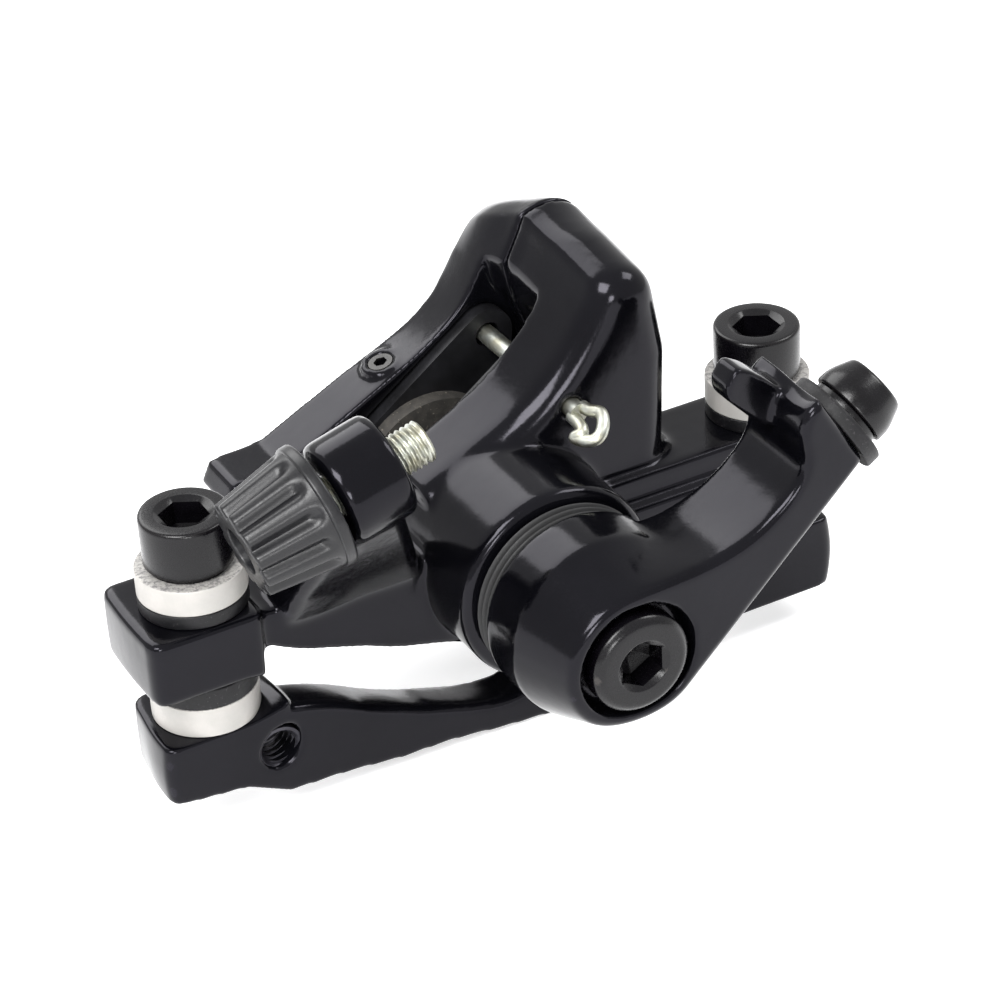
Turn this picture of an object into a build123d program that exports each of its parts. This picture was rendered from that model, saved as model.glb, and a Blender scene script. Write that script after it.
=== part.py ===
from build123d import *
import math
import os

# Frame: X along the two mounting bolts, Y inboard towards the wheel, Z up along the bolts
# The origin is midway between the two tab holes, on the outboard face of the bracket
# All lengths are in millimetres and all angles in degrees

# Working clearances
cut_over = 1.0
fit_gap = 0.03
slide_gap = 0.06
body_gap = 0.3

# Standard interfaces
tab_pitch = 51.0
tab_thread_r = 2.5
post_pitch = 74.0
post_shift = 5.4
post_line_y = 6.1
bolt_r = 3.0

# Bracket between the frame tabs and the caliper
post_face_z = 5.0
post_r = 8.0
post_left = 7.0
post_back = 6.3
post_round = 2.2
post_low = 7.6
right_post_r = 6.0
right_post_low = 9.7
plate_t = 6.2
bracket_span = 87.0
bracket_round = 1.2
bracket_edge = 0.7
bracket_arch_shares = [(-0.293, 0.99), (-0.2, 0.26), (-0.115, -0.35), (0.0, -0.97), (0.09, -0.78),
                       (0.17, 0.0), (0.235, 0.9)]
bracket_low_shares = [(-0.345, -0.041), (-0.285, -0.071), (0.12, -0.102), (0.28, -0.07), (0.43, -0.054)]

# Bolt stacks, from the ear outwards
ear_low_z = 11.3
ear_t = 8.3
ear_play = 0.04
stack_r = 6.25
cup_t = 1.7
low_cup_t = 2.5
white_t = 3.3
seat_sphere_r = 9.0
seat_edge = 0.5
cup_bore_r = 4.3
white_bore_r = 3.2
head_washer_r = 4.7
head_washer_t = 0.6
head_r = 5.15
head_h = 6.0
head_round = 0.5
hex_flats = 5.0
hex_deep = 3.2
bolt_length = 25.0

# Pivot of the lever, the pads and the pad screw
pivot_x = 6.4
pivot_z = 15.7

# Caliper body, two castings that meet at the parting plane
slot_out_y = 12.6
slot_w = 11.0
parting_y = 20.1
inner_t = 7.4
hood_face_y = 2.1
hood_round = 3.6
body_span = 40.0
brow_shares = [(-0.25, 0.225), (-0.05, 0.315), (0.09, 0.39), (0.238, 0.54), (0.335, 0.7)]
brow_swell = 0.9
brow_swell_shares = (0, 0.6, 1, 1, 0.4)
crown_top_share = 0.79
crown_high = 2.5
crown_drop = 2.6
crown_end_share = 0.5
hood_shares = [(0.875, 0.45), (0.852, 0.13)]
stack_clear = 4.15
body_end_shares = (0.06, -0.16)
body_low_shares = [(0.3, -0.28), (-0.2, -0.23)]
slot_end_shares = [(0.25, 0.75), (0.275, 0.52), (0.35, 0.3), (0.4, 0.0), (0.41, -0.2), (0.36, -0.35)]
inner_shares = [(0.3, -0.3), (0.0, -0.34), (-0.25, -0.24), (-0.44, -0.12), (-0.65, 0.05), (-0.62, 0.115),
                (-0.45, 0.128)]
crown_round = 4.6

# Barrel that holds the ball ramp
barrel_r = 12.2
barrel_end_y = -8.9
barrel_wall = 3.0
barrel_bore_r = 9.6
barrel_edge = 0.7
key_w = 3.0
key_high = 1.0

# Ears and web of the outer casting
ear_reach = 8.0
ear_front_y = -0.7
ear_back_y = 12.3
left_ear_back_y = 14.3
ear_inner = 5.2
right_ear_reach = 8.4
right_ear_front_y = 0.6
ear_slot_r = 3.3
ear_slot_half = 1.5
ear_round = 1.6
ear_edge = 0.45
web_front_y = 0.3
web_span = 36.0
web_shares = [(-0.94, 0.09), (-0.1, 0.09), (-0.05, -0.31), (-0.214, -0.289), (-0.883, -0.03), (-0.94, -0.03)]
right_web_shares = [(0.1, 0.02), (0.8, 0.02), (0.8, -0.1), (0.4, -0.27), (0.1, -0.31)]
right_web_front_y = -1.0

# Cable stop on its fin
adj_x = -16.1
adj_y = -6.8
adj_z = 36.7
adj_tilt = 15.5
boss_r = 6.1
boss_length = 7.8
boss_edge = 0.9
fin_foot_z = 16.5
fin_foot_front_y = 0.3
fin_foot_t = 6.0
fin_head_t = 8.0
fin_left_x = -24.5
fin_right_x = -5.5
fin_head_left_x = -20.0
fin_head_right_x = -12.6
fin_round = 1.6

# Barrel adjuster
stud_r = 2.5
stud_bore_r = 1.3
stud_out = 4.5
knob_gap = 0.9
knob_length = 10.2
knob_small_r = 5.6
knob_big_r = 7.3
knob_rim = 1.5
knob_round = 0.5
knob_flutes = 12
flute_r = 1.1
flute_out_share = 0.5
housing_r = 2.75
housing_deep = 7.0
stud_travel = 4.0

# Ball ramp
stem_r = 4.6
bush_wall = 1.4
thrust_t = 0.8
cam_r = 9.2
cam_t = 4.1
ball_r = 2.5
ball_ring_r = 5.6
piston_travel = 1.6
ball_count = 3
ramp_gap = 2.0
groove_play = 0.13
cage_t = 1.0
cage_r = 8.8
stem_flats = 7.0
magnet_r = 4.8
magnet_t = 2.0

# Lever arm
hub_r = 11.4
hub_front_r = 8.5
hub_taper = 8.0
arm_front_y = -26.4
arm_back_y = -14.2
hub_back_y = -12.2
recess_r = 7.1
recess_deep = 3.6
arm_span = 40.0
clamp_tilt = 31.5
clamp_shares = (0.712, 0.43)
clamp_y = -20.5
clamp_r = 2.5
end_low = 3.5
end_high = 9.3
end_taper = 1.9
arm_top_shares = [(0.54, 0.58), (0.53, 0.52), (0.54, 0.45), (0.512, 0.38), (0.455, 0.325), (0.375, 0.275),
                  (0.19, 0.23)]
lip_shares = [(0.64, 0.5), (0.5, 0.5), (0.388, 0.62), (0.385, 0.665), (0.42, 0.713), (0.475, 0.68),
              (0.568, 0.6), (0.63, 0.535)]
lip_front_y = -20.4
lip_back_y = -16.6
arm_bolt_r = 6.0
arm_bolt_head = 4.6
arm_bolt_shank_r = 2.5
arm_bolt_length = 14.0
stem_end_y = -21.4
spring_deep = 4.6
spring_coil_r = 7.9
spring_wire_r = 0.7
spring_wall = 1.6
arm_edge = 0.9
lip_round = 0.6
arm_travel = 36.0

# Cable clamp
washer_r = 6.1
washer_t = 1.8
lock_washer_r = 4.3
lock_washer_t = 0.9
clamp_head_r = 4.75
clamp_head_h = 4.5
clamp_head_taper = 1.4
clamp_bolt_length = 8.8

# Pads
pad_r = 10.3
pad_plate_t = 2.0
lining_t = 2.0
pad_pocket = 0.75
lining_r = 9.6
eye_r = 3.3
eye_hole_r = 1.6
pin_x = 15.2
pin_z = 30.6
pin_r = 1.15
pin_turn = 30.0
pin_loop_l = 5.0
pin_loop_w = 2.0
pin_droop = 1.2
pin_loop_shares = [(0.0, 0.42), (0.58, 1.0), (1.0, 0.0), (0.58, -1.0), (0.0, -0.42)]
pin_wire_r = 0.75
pin_stub = 0.6
pin_tail = 3.6
pin_tail_r = 0.55
pin_tail_spread = 26.0

# Pad screw on the inboard side
screw_r = 8.0
screw_hex_deep = 3.0

# Lock screw that bears on the pad screw through the top edge of the inner casting
lock_r = 1.5
lock_y = 27.3
lock_turn = 104.0
lock_boss_r = 2.5
lock_boss_reach = 13.3
lock_sink = 0.2
lock_hex = 1.5
lock_hex_deep = 1.2

# Screws that close the body
close_r = 2.5
close_head_r = 4.25
close_head_h = 5.0
close_length = 16.0
close_places_shares = [(0.405, 0.52), (0.5, -0.08)]

# Values that follow from the sizes above
left_post_x = post_shift - post_pitch / 2
right_post_x = post_shift + post_pitch / 2
post_xs = [left_post_x, right_post_x]
ear_top_z = ear_low_z + ear_t
slot_in_y = slot_out_y + slot_w
inner_back_y = slot_in_y + inner_t
head_seat_z = ear_top_z + ear_play + cup_t + white_t + head_washer_t
cam_back_y = barrel_end_y + barrel_wall + thrust_t + 2 * fit_gap
cam_face_y = cam_back_y + cam_t
piston_face_y = cam_face_y + ramp_gap
ball_y = cam_face_y + ramp_gap / 2
ramp_tilt = math.degrees(math.atan2(piston_travel / 2, ball_ring_r * math.radians(arm_travel / 2)))
ramp_sweep = arm_travel / 2 / math.cos(math.radians(ramp_tilt)) + math.degrees(groove_play / ball_ring_r)
seat_r = stack_r - seat_edge
outer_pad_y = slot_out_y - pad_pocket
inner_pad_y = slot_in_y + pad_pocket


def facing(depth):
    """Plane across the wheel axle at a depth; an extrusion from it goes outboard."""
    return Plane((0, depth, 0), x_dir=(1, 0, 0), z_dir=(0, -1, 0))


def spread(shares, size, about_x=0.0, about_z=0.0):
    """Points of an outline given as shares of a size about a place."""
    return [(about_x + size * across, about_z + size * up) for across, up in shares]


def keep(piece, name):
    """Label a finished piece and write it to its own file."""
    piece.part.label = name
    export_step(piece.part, f"parts/{name}.step")


os.makedirs("parts", exist_ok=True)

# Bracket: a plate with an arched window side and two thick posts
bracket_top = [(bracket_span * across, post_face_z * up) for across, up in bracket_arch_shares]
bracket_low = spread(bracket_low_shares, bracket_span)
left_end_x = left_post_x - post_left
right_end_x = right_post_x + right_post_r
with BuildPart() as adapter_bracket:
    with BuildSketch(facing(plate_t)):
        with BuildLine():
            Spline(*bracket_top)
            Polyline(bracket_top[-1], (right_end_x, post_face_z), (right_end_x, bracket_low[-1][1]),
                     *reversed(bracket_low), (left_end_x, post_face_z - post_low),
                     (left_end_x, post_face_z), bracket_top[0])
        make_face()
    extrude(amount=plate_t)
    front_edges = adapter_bracket.faces().sort_by(Axis.Y)[0].edges()
    fillet(front_edges.filter_by(GeomType.BSPLINE), bracket_edge)
    with BuildSketch(Plane.XY.offset(post_face_z)) as left_post:
        with Locations((left_post_x + (post_r - post_left) / 2, (post_line_y + post_back) / 2)):
            Rectangle(post_left + post_r, post_line_y + post_back)
        fillet(left_post.vertices().group_by(Axis.Y)[-1], post_round)
    extrude(amount=-post_low)
    with BuildSketch(Plane.XY.offset(post_face_z)):
        with Locations((right_post_x, post_line_y)):
            Circle(right_post_r)
        with Locations((right_post_x, post_line_y / 2)):
            Rectangle(2 * right_post_r, post_line_y)
    extrude(amount=-right_post_low)
    fillet(adapter_bracket.edges().filter_by(Axis.Z).group_by(Axis.Y)[0], bracket_round)
    with BuildSketch(Plane.XY.offset(post_face_z)):
        with Locations(*[(x, post_line_y) for x in post_xs]):
            Circle(bolt_r + fit_gap)
    extrude(amount=-2 * right_post_low, mode=Mode.SUBTRACT)
    with Locations(*[facing(0) * Location((side * tab_pitch / 2, 0, 0)) for side in (-1, 1)]):
        Hole(tab_thread_r, depth=2 * post_r)
keep(adapter_bracket, "adapter_bracket")


def seat_height(radius, cup):
    """Height of the round seat over the ear's face at a radius, for a cup of given thickness."""
    return cup + math.sqrt(seat_sphere_r**2 - seat_r**2) - math.sqrt(seat_sphere_r**2 - radius**2)


# Washers above and below the ears, one pair on each bolt
upper_ear_z = ear_top_z + ear_play
lower_ear_z = ear_low_z - ear_play
low_white_t = lower_ear_z - low_cup_t - post_face_z
stacks = {"upper": (upper_ear_z, 1, cup_t, white_t), "lower": (lower_ear_z, -1, low_cup_t, low_white_t)}
for side, (ear_z, way, cup, white) in stacks.items():
    dish_r = (cup_bore_r + seat_r) / 2
    with BuildPart() as cup_washers:
        for post_x in post_xs:
            with BuildSketch(facing(post_line_y)):
                with BuildLine():
                    dish_z = ear_z + way * seat_height(cup_bore_r, cup)
                    Polyline((post_x + cup_bore_r, dish_z), (post_x + cup_bore_r, ear_z),
                             (post_x + stack_r, ear_z), (post_x + stack_r, ear_z + way * cup),
                             (post_x + seat_r, ear_z + way * cup))
                    ThreePointArc((post_x + seat_r, ear_z + way * cup),
                                  (post_x + dish_r, ear_z + way * seat_height(dish_r, cup)),
                                  (post_x + cup_bore_r, dish_z))
                make_face()
            revolve(axis=Axis((post_x, post_line_y, 0), (0, 0, 1)))
    keep(cup_washers, side + "_cup_washers")

    dome_r = (white_bore_r + seat_r) / 2
    with BuildPart() as white_washers:
        for post_x in post_xs:
            with BuildSketch(facing(post_line_y)):
                with BuildLine():
                    rim_z = ear_z + way * (cup + fit_gap)
                    bore_z = ear_z + way * (seat_height(white_bore_r, cup) + fit_gap)
                    top_z = ear_z + way * (cup + white)
                    Polyline((post_x + seat_r, rim_z), (post_x + stack_r, rim_z), (post_x + stack_r, top_z),
                             (post_x + white_bore_r, top_z), (post_x + white_bore_r, bore_z))
                    ThreePointArc((post_x + white_bore_r, bore_z),
                                  (post_x + dome_r, ear_z + way * (seat_height(dome_r, cup) + fit_gap)),
                                  (post_x + seat_r, rim_z))
                make_face()
            revolve(axis=Axis((post_x, post_line_y, 0), (0, 0, 1)))
    keep(white_washers, side + "_white_washers")

# Thin washers under the bolt heads
post_spots = [(post_x, post_line_y) for post_x in post_xs]
with BuildPart() as head_washers:
    with BuildSketch(Plane.XY.offset(head_seat_z - head_washer_t)):
        with Locations(*post_spots):
            Circle(head_washer_r)
            Circle(bolt_r + 2 * slide_gap, mode=Mode.SUBTRACT)
    extrude(amount=head_washer_t)
keep(head_washers, "head_washers")

# Mounting bolts with hexagon sockets
with BuildPart() as mount_bolts:
    with BuildSketch(Plane.XY.offset(head_seat_z)):
        with Locations(*post_spots):
            Circle(head_r)
    extrude(amount=head_h)
    fillet(mount_bolts.faces().group_by(Axis.Z)[-1].edges(), head_round)
    with BuildSketch(Plane.XY.offset(head_seat_z)):
        with Locations(*post_spots):
            Circle(bolt_r)
    extrude(amount=-bolt_length)
    with BuildSketch(Plane.XY.offset(head_seat_z + head_h)):
        with Locations(*post_spots):
            RegularPolygon(hex_flats / 2, 6, major_radius=False)
    extrude(amount=-hex_deep, mode=Mode.SUBTRACT)
keep(mount_bolts, "mount_bolts")

# Places shared by the two castings
pivot = (pivot_x, pivot_z)
body_end_x = right_post_x - stack_r - stack_clear
body_end = [(body_end_x, pivot_z + body_span * up) for up in body_end_shares]
low_points = spread(body_low_shares, body_span, *pivot)
inner_points = spread(inner_shares, body_span, *pivot)
slot_points = spread(slot_end_shares, body_span, *pivot)
slot_area = slot_points + [(pivot_x - body_span, slot_points[-1][1]), (pivot_x - body_span, slot_points[0][1])]
close_spots = spread(close_places_shares, body_span, *pivot)
adj_way = (math.cos(math.radians(adj_tilt)), 0, math.sin(math.radians(adj_tilt)))


def adjuster_plane(along):
    """Plane across the cable adjuster's axis, at a distance from the middle of the cable stop."""
    spot = [place + along * way for place, way in zip((adj_x, adj_y, adj_z), adj_way)]
    return Plane(tuple(spot), x_dir=(0, 1, 0), z_dir=adj_way)


def crown_rise(depth):
    """How much the crown stands above its height at the hood's face; it is highest at the parting plane."""
    if depth <= parting_y:
        return crown_high * (depth - hood_face_y) / (parting_y - hood_face_y)
    return crown_high - (crown_high + crown_drop) * (depth - parting_y) / (inner_back_y - parting_y)


def brow_points(depth):
    """Curved upper side of the castings at a depth; it swells towards the parting plane."""
    rise = crown_rise(depth)
    swell = max(0, rise / crown_high) * brow_swell
    points = spread(brow_shares, body_span, *pivot)
    swollen = [(x - swell * share, z + swell * share) for (x, z), share in zip(points, brow_swell_shares)]
    return swollen[:-1] + [(swollen[-1][0], swollen[-1][1] + rise)]


def side_points(depth, under):
    """Crown, right end and underside of a casting at a depth."""
    crown = (pivot_x + crown_end_share * body_span, pivot_z + crown_top_share * body_span + crown_rise(depth))
    reach = body_end_x - pivot_x
    side = [(pivot_x + reach * across, pivot_z + body_span * up) for across, up in hood_shares]
    return [crown] + side + body_end + under


def is_ear_face(face):
    """Whether a level face is the top or bottom of an ear."""
    height = face.center().Z
    return min(abs(height - ear_low_z), abs(height - ear_top_z)) < fit_gap


def is_ear_rim(edge):
    """Whether an edge lies along the front or the end of an ear."""
    spot = edge.center()
    beyond = spot.X < left_post_x + ear_inner - ear_round or spot.X > right_post_x - right_post_r
    return beyond and spot.Y < left_ear_back_y - fit_gap


def pad_outline(extra):
    """Round pad with an eye for the split pin, grown by a clearance."""
    with Locations(pivot):
        Circle(pad_r + extra)
    with Locations((pin_x, pin_z)):
        Circle(eye_r + extra)
    make_hull()


def lock_plane(reach):
    """Plane across the lock screw's axis, at a distance from the pivot."""
    turn = math.radians(lock_turn)
    way = (math.cos(turn), 0, math.sin(turn))
    return Plane((pivot_x + reach * way[0], lock_y, pivot_z + reach * way[2]), x_dir=(0, 1, 0), z_dir=way)


# Outer casting: hood over the slot, barrel, ears, webs and the cable stop on its fin
with BuildPart() as outer_body:
    for depth in (parting_y, hood_face_y):
        brow = brow_points(depth)
        with BuildSketch(facing(depth)) as hood_sketch:
            with BuildLine():
                Spline(*brow)
                Polyline(brow[-1], *side_points(depth, low_points), brow[0])
            make_face()
            fillet(hood_sketch.vertices().sort_by(Axis.Y)[-1], crown_round)
    loft(ruled=True)
    brow_edges = outer_body.faces().sort_by(Axis.Y)[0].edges().filter_by(lambda edge: edge.center().Z > pivot_z)
    fillet(brow_edges, hood_round)
    with BuildSketch(facing(parting_y)):
        Polygon(*slot_area, align=None)
    extrude(amount=parting_y - slot_out_y, mode=Mode.SUBTRACT)
    with BuildSketch(facing(slot_out_y)):
        with Locations(pivot):
            Circle(barrel_r)
    extrude(amount=slot_out_y - barrel_end_y)
    chamfer(outer_body.faces().sort_by(Axis.Y)[0].edges(), barrel_edge)
    with BuildSketch(facing(ear_back_y)):
        Polygon(*spread(web_shares, web_span, *pivot), align=None)
    extrude(amount=ear_back_y - web_front_y)
    with BuildSketch(facing(ear_back_y)):
        Polygon(*spread(right_web_shares, web_span, *pivot), align=None)
    extrude(amount=ear_back_y - right_web_front_y)
    with BuildSketch(Plane.XY.offset(ear_low_z)) as left_ear:
        with Locations((left_post_x + (ear_inner - ear_reach) / 2, (ear_front_y + left_ear_back_y) / 2)):
            Rectangle(ear_reach + ear_inner, left_ear_back_y - ear_front_y)
            fillet(left_ear.vertices().group_by(Axis.X)[0], ear_round)
    extrude(amount=ear_t)
    with BuildSketch(Plane.XY.offset(ear_low_z)) as right_ear:
        right_ear_length = right_ear_reach + right_post_x - pivot_x
        with Locations((pivot_x + right_ear_length / 2, (right_ear_front_y + ear_back_y) / 2)):
            Rectangle(right_ear_length, ear_back_y - right_ear_front_y)
            fillet(right_ear.vertices().group_by(Axis.X)[-1], ear_round)
    extrude(amount=ear_t)
    ear_faces = outer_body.faces().filter_by(Axis.Z).filter_by(is_ear_face)
    fillet(ear_faces.edges().filter_by(is_ear_rim), ear_edge)
    with BuildSketch(Plane.XY.offset(fin_foot_z)):
        with Locations(((fin_left_x + fin_right_x) / 2, fin_foot_front_y + fin_foot_t / 2)):
            RectangleRounded(fin_right_x - fin_left_x, fin_foot_t, fin_round)
    with BuildSketch(Plane.XY.offset(adj_z - boss_r / 2)):
        with Locations(((fin_head_left_x + fin_head_right_x) / 2, adj_y)):
            RectangleRounded(fin_head_right_x - fin_head_left_x, fin_head_t, fin_round)
    loft(ruled=True)
    with BuildSketch(adjuster_plane(-boss_length / 2)):
        Circle(knob_big_r + 2 * body_gap)
    extrude(amount=-(knob_gap + knob_length + stud_travel + cut_over), mode=Mode.SUBTRACT)
    with BuildSketch(Plane((adj_x, adj_y, adj_z), x_dir=adj_way, z_dir=(0, -1, 0))) as boss_profile:
        Rectangle(boss_length, boss_r, align=(Align.CENTER, Align.MIN))
        fillet(boss_profile.vertices().group_by(Axis.Y)[-1], boss_edge)
    revolve(axis=Axis((adj_x, adj_y, adj_z), adj_way))
    with BuildSketch(adjuster_plane(-boss_length)):
        Circle(stud_r + fit_gap)
    extrude(amount=2 * boss_length, mode=Mode.SUBTRACT)
    with BuildSketch(Plane.XY.offset(ear_low_z - cut_over)):
        with Locations(*post_spots):
            SlotCenterToCenter(2 * ear_slot_half, 2 * ear_slot_r, rotation=90)
    extrude(amount=ear_t + 2 * cut_over, mode=Mode.SUBTRACT)
    with BuildSketch(facing(slot_out_y + cut_over)):
        with Locations(pivot):
            Circle(barrel_bore_r)
            with PolarLocations(barrel_bore_r, 2, start_angle=90):
                Rectangle(2 * key_high, key_w)
    extrude(amount=slot_out_y + cut_over - barrel_end_y - barrel_wall, mode=Mode.SUBTRACT)
    with BuildSketch(facing(slot_out_y + cut_over)):
        with Locations(pivot):
            Circle(stem_r + bush_wall)
    extrude(amount=slot_out_y - barrel_end_y + 2 * cut_over, mode=Mode.SUBTRACT)
    with BuildSketch(facing(slot_out_y + cut_over)):
        pad_outline(body_gap)
    extrude(amount=pad_pocket + slide_gap + cut_over, mode=Mode.SUBTRACT)
    with BuildSketch(facing(slot_out_y + cut_over)):
        with Locations((pin_x, pin_z)):
            Circle(pin_r + slide_gap)
    extrude(amount=slot_out_y - hood_face_y + 2 * cut_over, mode=Mode.SUBTRACT)
    with BuildSketch(facing(parting_y)):
        with Locations(*close_spots):
            Circle(close_r + fit_gap)
    extrude(amount=close_length + close_head_h + parting_y - inner_back_y, mode=Mode.SUBTRACT)
keep(outer_body, "outer_body")

# Inner casting: plate behind the rotor with the seat of the pad screw
with BuildPart() as inner_body:
    for depth in (parting_y + fit_gap, inner_back_y):
        brow = brow_points(depth)
        with BuildSketch(facing(depth)) as plate_sketch:
            with BuildLine():
                Spline(*brow)
                Polyline(brow[-1], *side_points(depth, inner_points), brow[0])
            make_face()
            fillet(plate_sketch.vertices().sort_by(Axis.Y)[-1], crown_round)
    loft(ruled=True)
    with BuildSketch(facing(slot_in_y)):
        Polygon(*slot_area, align=None)
    extrude(amount=slot_in_y - parting_y, mode=Mode.SUBTRACT)
    with BuildSketch(lock_plane(lock_boss_reach)):
        Circle(lock_boss_r)
    extrude(amount=screw_r - lock_boss_reach)
    with BuildSketch(facing(inner_back_y + cut_over)):
        with Locations(pivot):
            Circle(screw_r + slide_gap)
    extrude(amount=inner_t + 2 * cut_over, mode=Mode.SUBTRACT)
    with BuildSketch(lock_plane(lock_boss_reach + cut_over)):
        Circle(lock_r + fit_gap)
    extrude(amount=screw_r - lock_boss_reach - cut_over, mode=Mode.SUBTRACT)
    with BuildSketch(facing(slot_in_y + pad_pocket + slide_gap)):
        pad_outline(body_gap)
    extrude(amount=pad_pocket + slide_gap + cut_over, mode=Mode.SUBTRACT)
    with BuildSketch(facing(inner_back_y + cut_over)):
        with Locations((pin_x, pin_z)):
            Circle(pin_r + slide_gap)
        with Locations(*close_spots):
            Circle(close_r + fit_gap)
    extrude(amount=inner_back_y - parting_y + 2 * cut_over, mode=Mode.SUBTRACT)
    with BuildSketch(facing(inner_back_y + cut_over)):
        with Locations(*close_spots):
            Circle(close_head_r + 2 * slide_gap)
    extrude(amount=close_head_h + fit_gap + cut_over, mode=Mode.SUBTRACT)
keep(inner_body, "inner_body")

# Screws that hold the two castings together
with BuildPart() as body_screws:
    with BuildSketch(facing(inner_back_y)):
        with Locations(*close_spots):
            Circle(close_head_r)
    extrude(amount=close_head_h)
    with BuildSketch(facing(inner_back_y - close_head_h)):
        with Locations(*close_spots):
            Circle(close_r)
    extrude(amount=close_length - fit_gap)
    with BuildSketch(facing(inner_back_y)):
        with Locations(*close_spots):
            RegularPolygon(hex_flats * close_r / bolt_r / 2, 6, major_radius=False)
    extrude(amount=close_head_h / 2, mode=Mode.SUBTRACT)
keep(body_screws, "body_screws")

# Bush in the barrel's end wall and the thrust washer inside it
with BuildPart() as cam_bush:
    with BuildSketch(facing(barrel_end_y + barrel_wall)):
        with Locations(pivot):
            Circle(stem_r + bush_wall - fit_gap)
            Circle(stem_r + fit_gap, mode=Mode.SUBTRACT)
    extrude(amount=barrel_wall)
keep(cam_bush, "cam_bush")

with BuildPart() as thrust_washer:
    with BuildSketch(facing(barrel_end_y + barrel_wall + fit_gap + thrust_t)):
        with Locations(pivot):
            Circle(cam_r)
            Circle(stem_r + slide_gap, mode=Mode.SUBTRACT)
    extrude(amount=thrust_t)
keep(thrust_washer, "thrust_washer")

# Drive cam: a disc with three ball ramps on a stem that carries the lever arm
groove_r = ball_r + groove_play
pivot_spot = Vector(pivot_x, ball_y, pivot_z)
ball_angles = [90 + 360 / ball_count * ball for ball in range(ball_count)]


def ball_spot(angle):
    """Centre of a ball at rest, at an angle about the pivot."""
    turn = math.radians(angle)
    return pivot_spot + Vector(math.cos(turn), 0, math.sin(turn)) * ball_ring_r


def ramp_way(angle, way):
    """Direction of a ramp at its deep end; way is -1 on the cam and 1 on the piston."""
    turn = math.radians(angle)
    lean = math.radians(ramp_tilt)
    around = Vector(-math.sin(turn), 0, math.cos(turn)) * way * math.cos(lean)
    return around + Vector(0, -way * math.sin(lean), 0)


def ramp_axis(angle, way):
    """Tilted axis that a ball's centre turns about as it climbs a ramp."""
    outward = (ball_spot(angle) - pivot_spot).normalized()
    return Axis(pivot_spot, outward.cross(ramp_way(angle, way)))


def ramp_end(angle, way):
    """Place of a ball at the shallow end of a ramp."""
    turn = math.radians(ramp_sweep)
    along = ramp_way(angle, way) * ball_ring_r * math.sin(turn)
    return pivot_spot + (ball_spot(angle) - pivot_spot) * math.cos(turn) + along


with BuildPart() as drive_cam:
    with BuildSketch(facing(cam_face_y)):
        with Locations(pivot):
            Circle(cam_r)
    extrude(amount=cam_t)
    with BuildSketch(facing(cam_back_y)):
        with Locations(pivot):
            Circle(stem_r)
    extrude(amount=cam_back_y - stem_end_y)
    with BuildSketch(facing(hub_back_y - spring_deep / 2)):
        with Locations(pivot):
            Circle(2 * stem_r)
            Rectangle(4 * stem_r, stem_flats, mode=Mode.SUBTRACT)
    extrude(amount=hub_back_y - stem_end_y + cut_over, mode=Mode.SUBTRACT)
    with BuildSketch(facing(cam_back_y)):
        with Locations(pivot):
            Circle(arm_bolt_shank_r + fit_gap)
    extrude(amount=cam_back_y - stem_end_y + cut_over, mode=Mode.SUBTRACT)
    for ball_angle in ball_angles:
        with BuildSketch(Plane(ball_spot(ball_angle), x_dir=ball_spot(ball_angle) - pivot_spot,
                               z_dir=ramp_way(ball_angle, -1))):
            Circle(groove_r)
        revolve(axis=ramp_axis(ball_angle, -1), revolution_arc=ramp_sweep, mode=Mode.SUBTRACT)
        with Locations(ball_spot(ball_angle), ramp_end(ball_angle, -1)):
            Sphere(groove_r, mode=Mode.SUBTRACT)
keep(drive_cam, "drive_cam")

# Balls and the cage that spaces them
with BuildPart() as ramp_balls:
    with Locations(*[ball_spot(ball_angle) for ball_angle in ball_angles]):
        Sphere(ball_r)
keep(ramp_balls, "ramp_balls")

with BuildPart() as ball_cage:
    with BuildSketch(facing(ball_y + cage_t / 2)):
        with Locations(pivot):
            Circle(cage_r)
            Circle(ball_r, mode=Mode.SUBTRACT)
            with PolarLocations(ball_ring_r, ball_count, start_angle=90):
                Circle(ball_r + slide_gap, mode=Mode.SUBTRACT)
    extrude(amount=cage_t)
keep(ball_cage, "ball_cage")

# Piston: takes the balls' push to the outer pad, kept from turning by two keys
with BuildPart() as piston:
    with BuildSketch(facing(outer_pad_y - fit_gap)):
        with Locations(pivot):
            Circle(barrel_bore_r - slide_gap)
            with PolarLocations(barrel_bore_r, 2, start_angle=90):
                Rectangle(2 * key_high - 2 * slide_gap, key_w - 2 * slide_gap)
    extrude(amount=outer_pad_y - fit_gap - piston_face_y)
    with BuildSketch(facing(outer_pad_y)):
        with Locations(pivot):
            Circle(magnet_r)
    extrude(amount=magnet_t, mode=Mode.SUBTRACT)
    for ball_angle in ball_angles:
        with BuildSketch(Plane(ball_spot(ball_angle), x_dir=ball_spot(ball_angle) - pivot_spot,
                               z_dir=ramp_way(ball_angle, 1))):
            Circle(groove_r)
        revolve(axis=ramp_axis(ball_angle, 1), revolution_arc=ramp_sweep, mode=Mode.SUBTRACT)
        with Locations(ball_spot(ball_angle), ramp_end(ball_angle, 1)):
            Sphere(groove_r, mode=Mode.SUBTRACT)
keep(piston, "piston")

# Magnet in the piston that holds the outer pad
with BuildPart() as pad_magnet:
    with BuildSketch(facing(outer_pad_y - fit_gap)):
        with Locations(pivot):
            Circle(magnet_r - fit_gap)
    extrude(amount=magnet_t - 2 * fit_gap)
keep(pad_magnet, "pad_magnet")

# Rubber boot between the barrel and the lever's hub
with BuildPart() as dust_boot:
    with BuildSketch(facing(barrel_end_y - fit_gap)):
        with Locations(pivot):
            Circle(barrel_r - 2 * barrel_edge)
            Circle(barrel_bore_r, mode=Mode.SUBTRACT)
    extrude(amount=barrel_end_y - hub_back_y - body_gap - fit_gap)
keep(dust_boot, "dust_boot")

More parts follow.
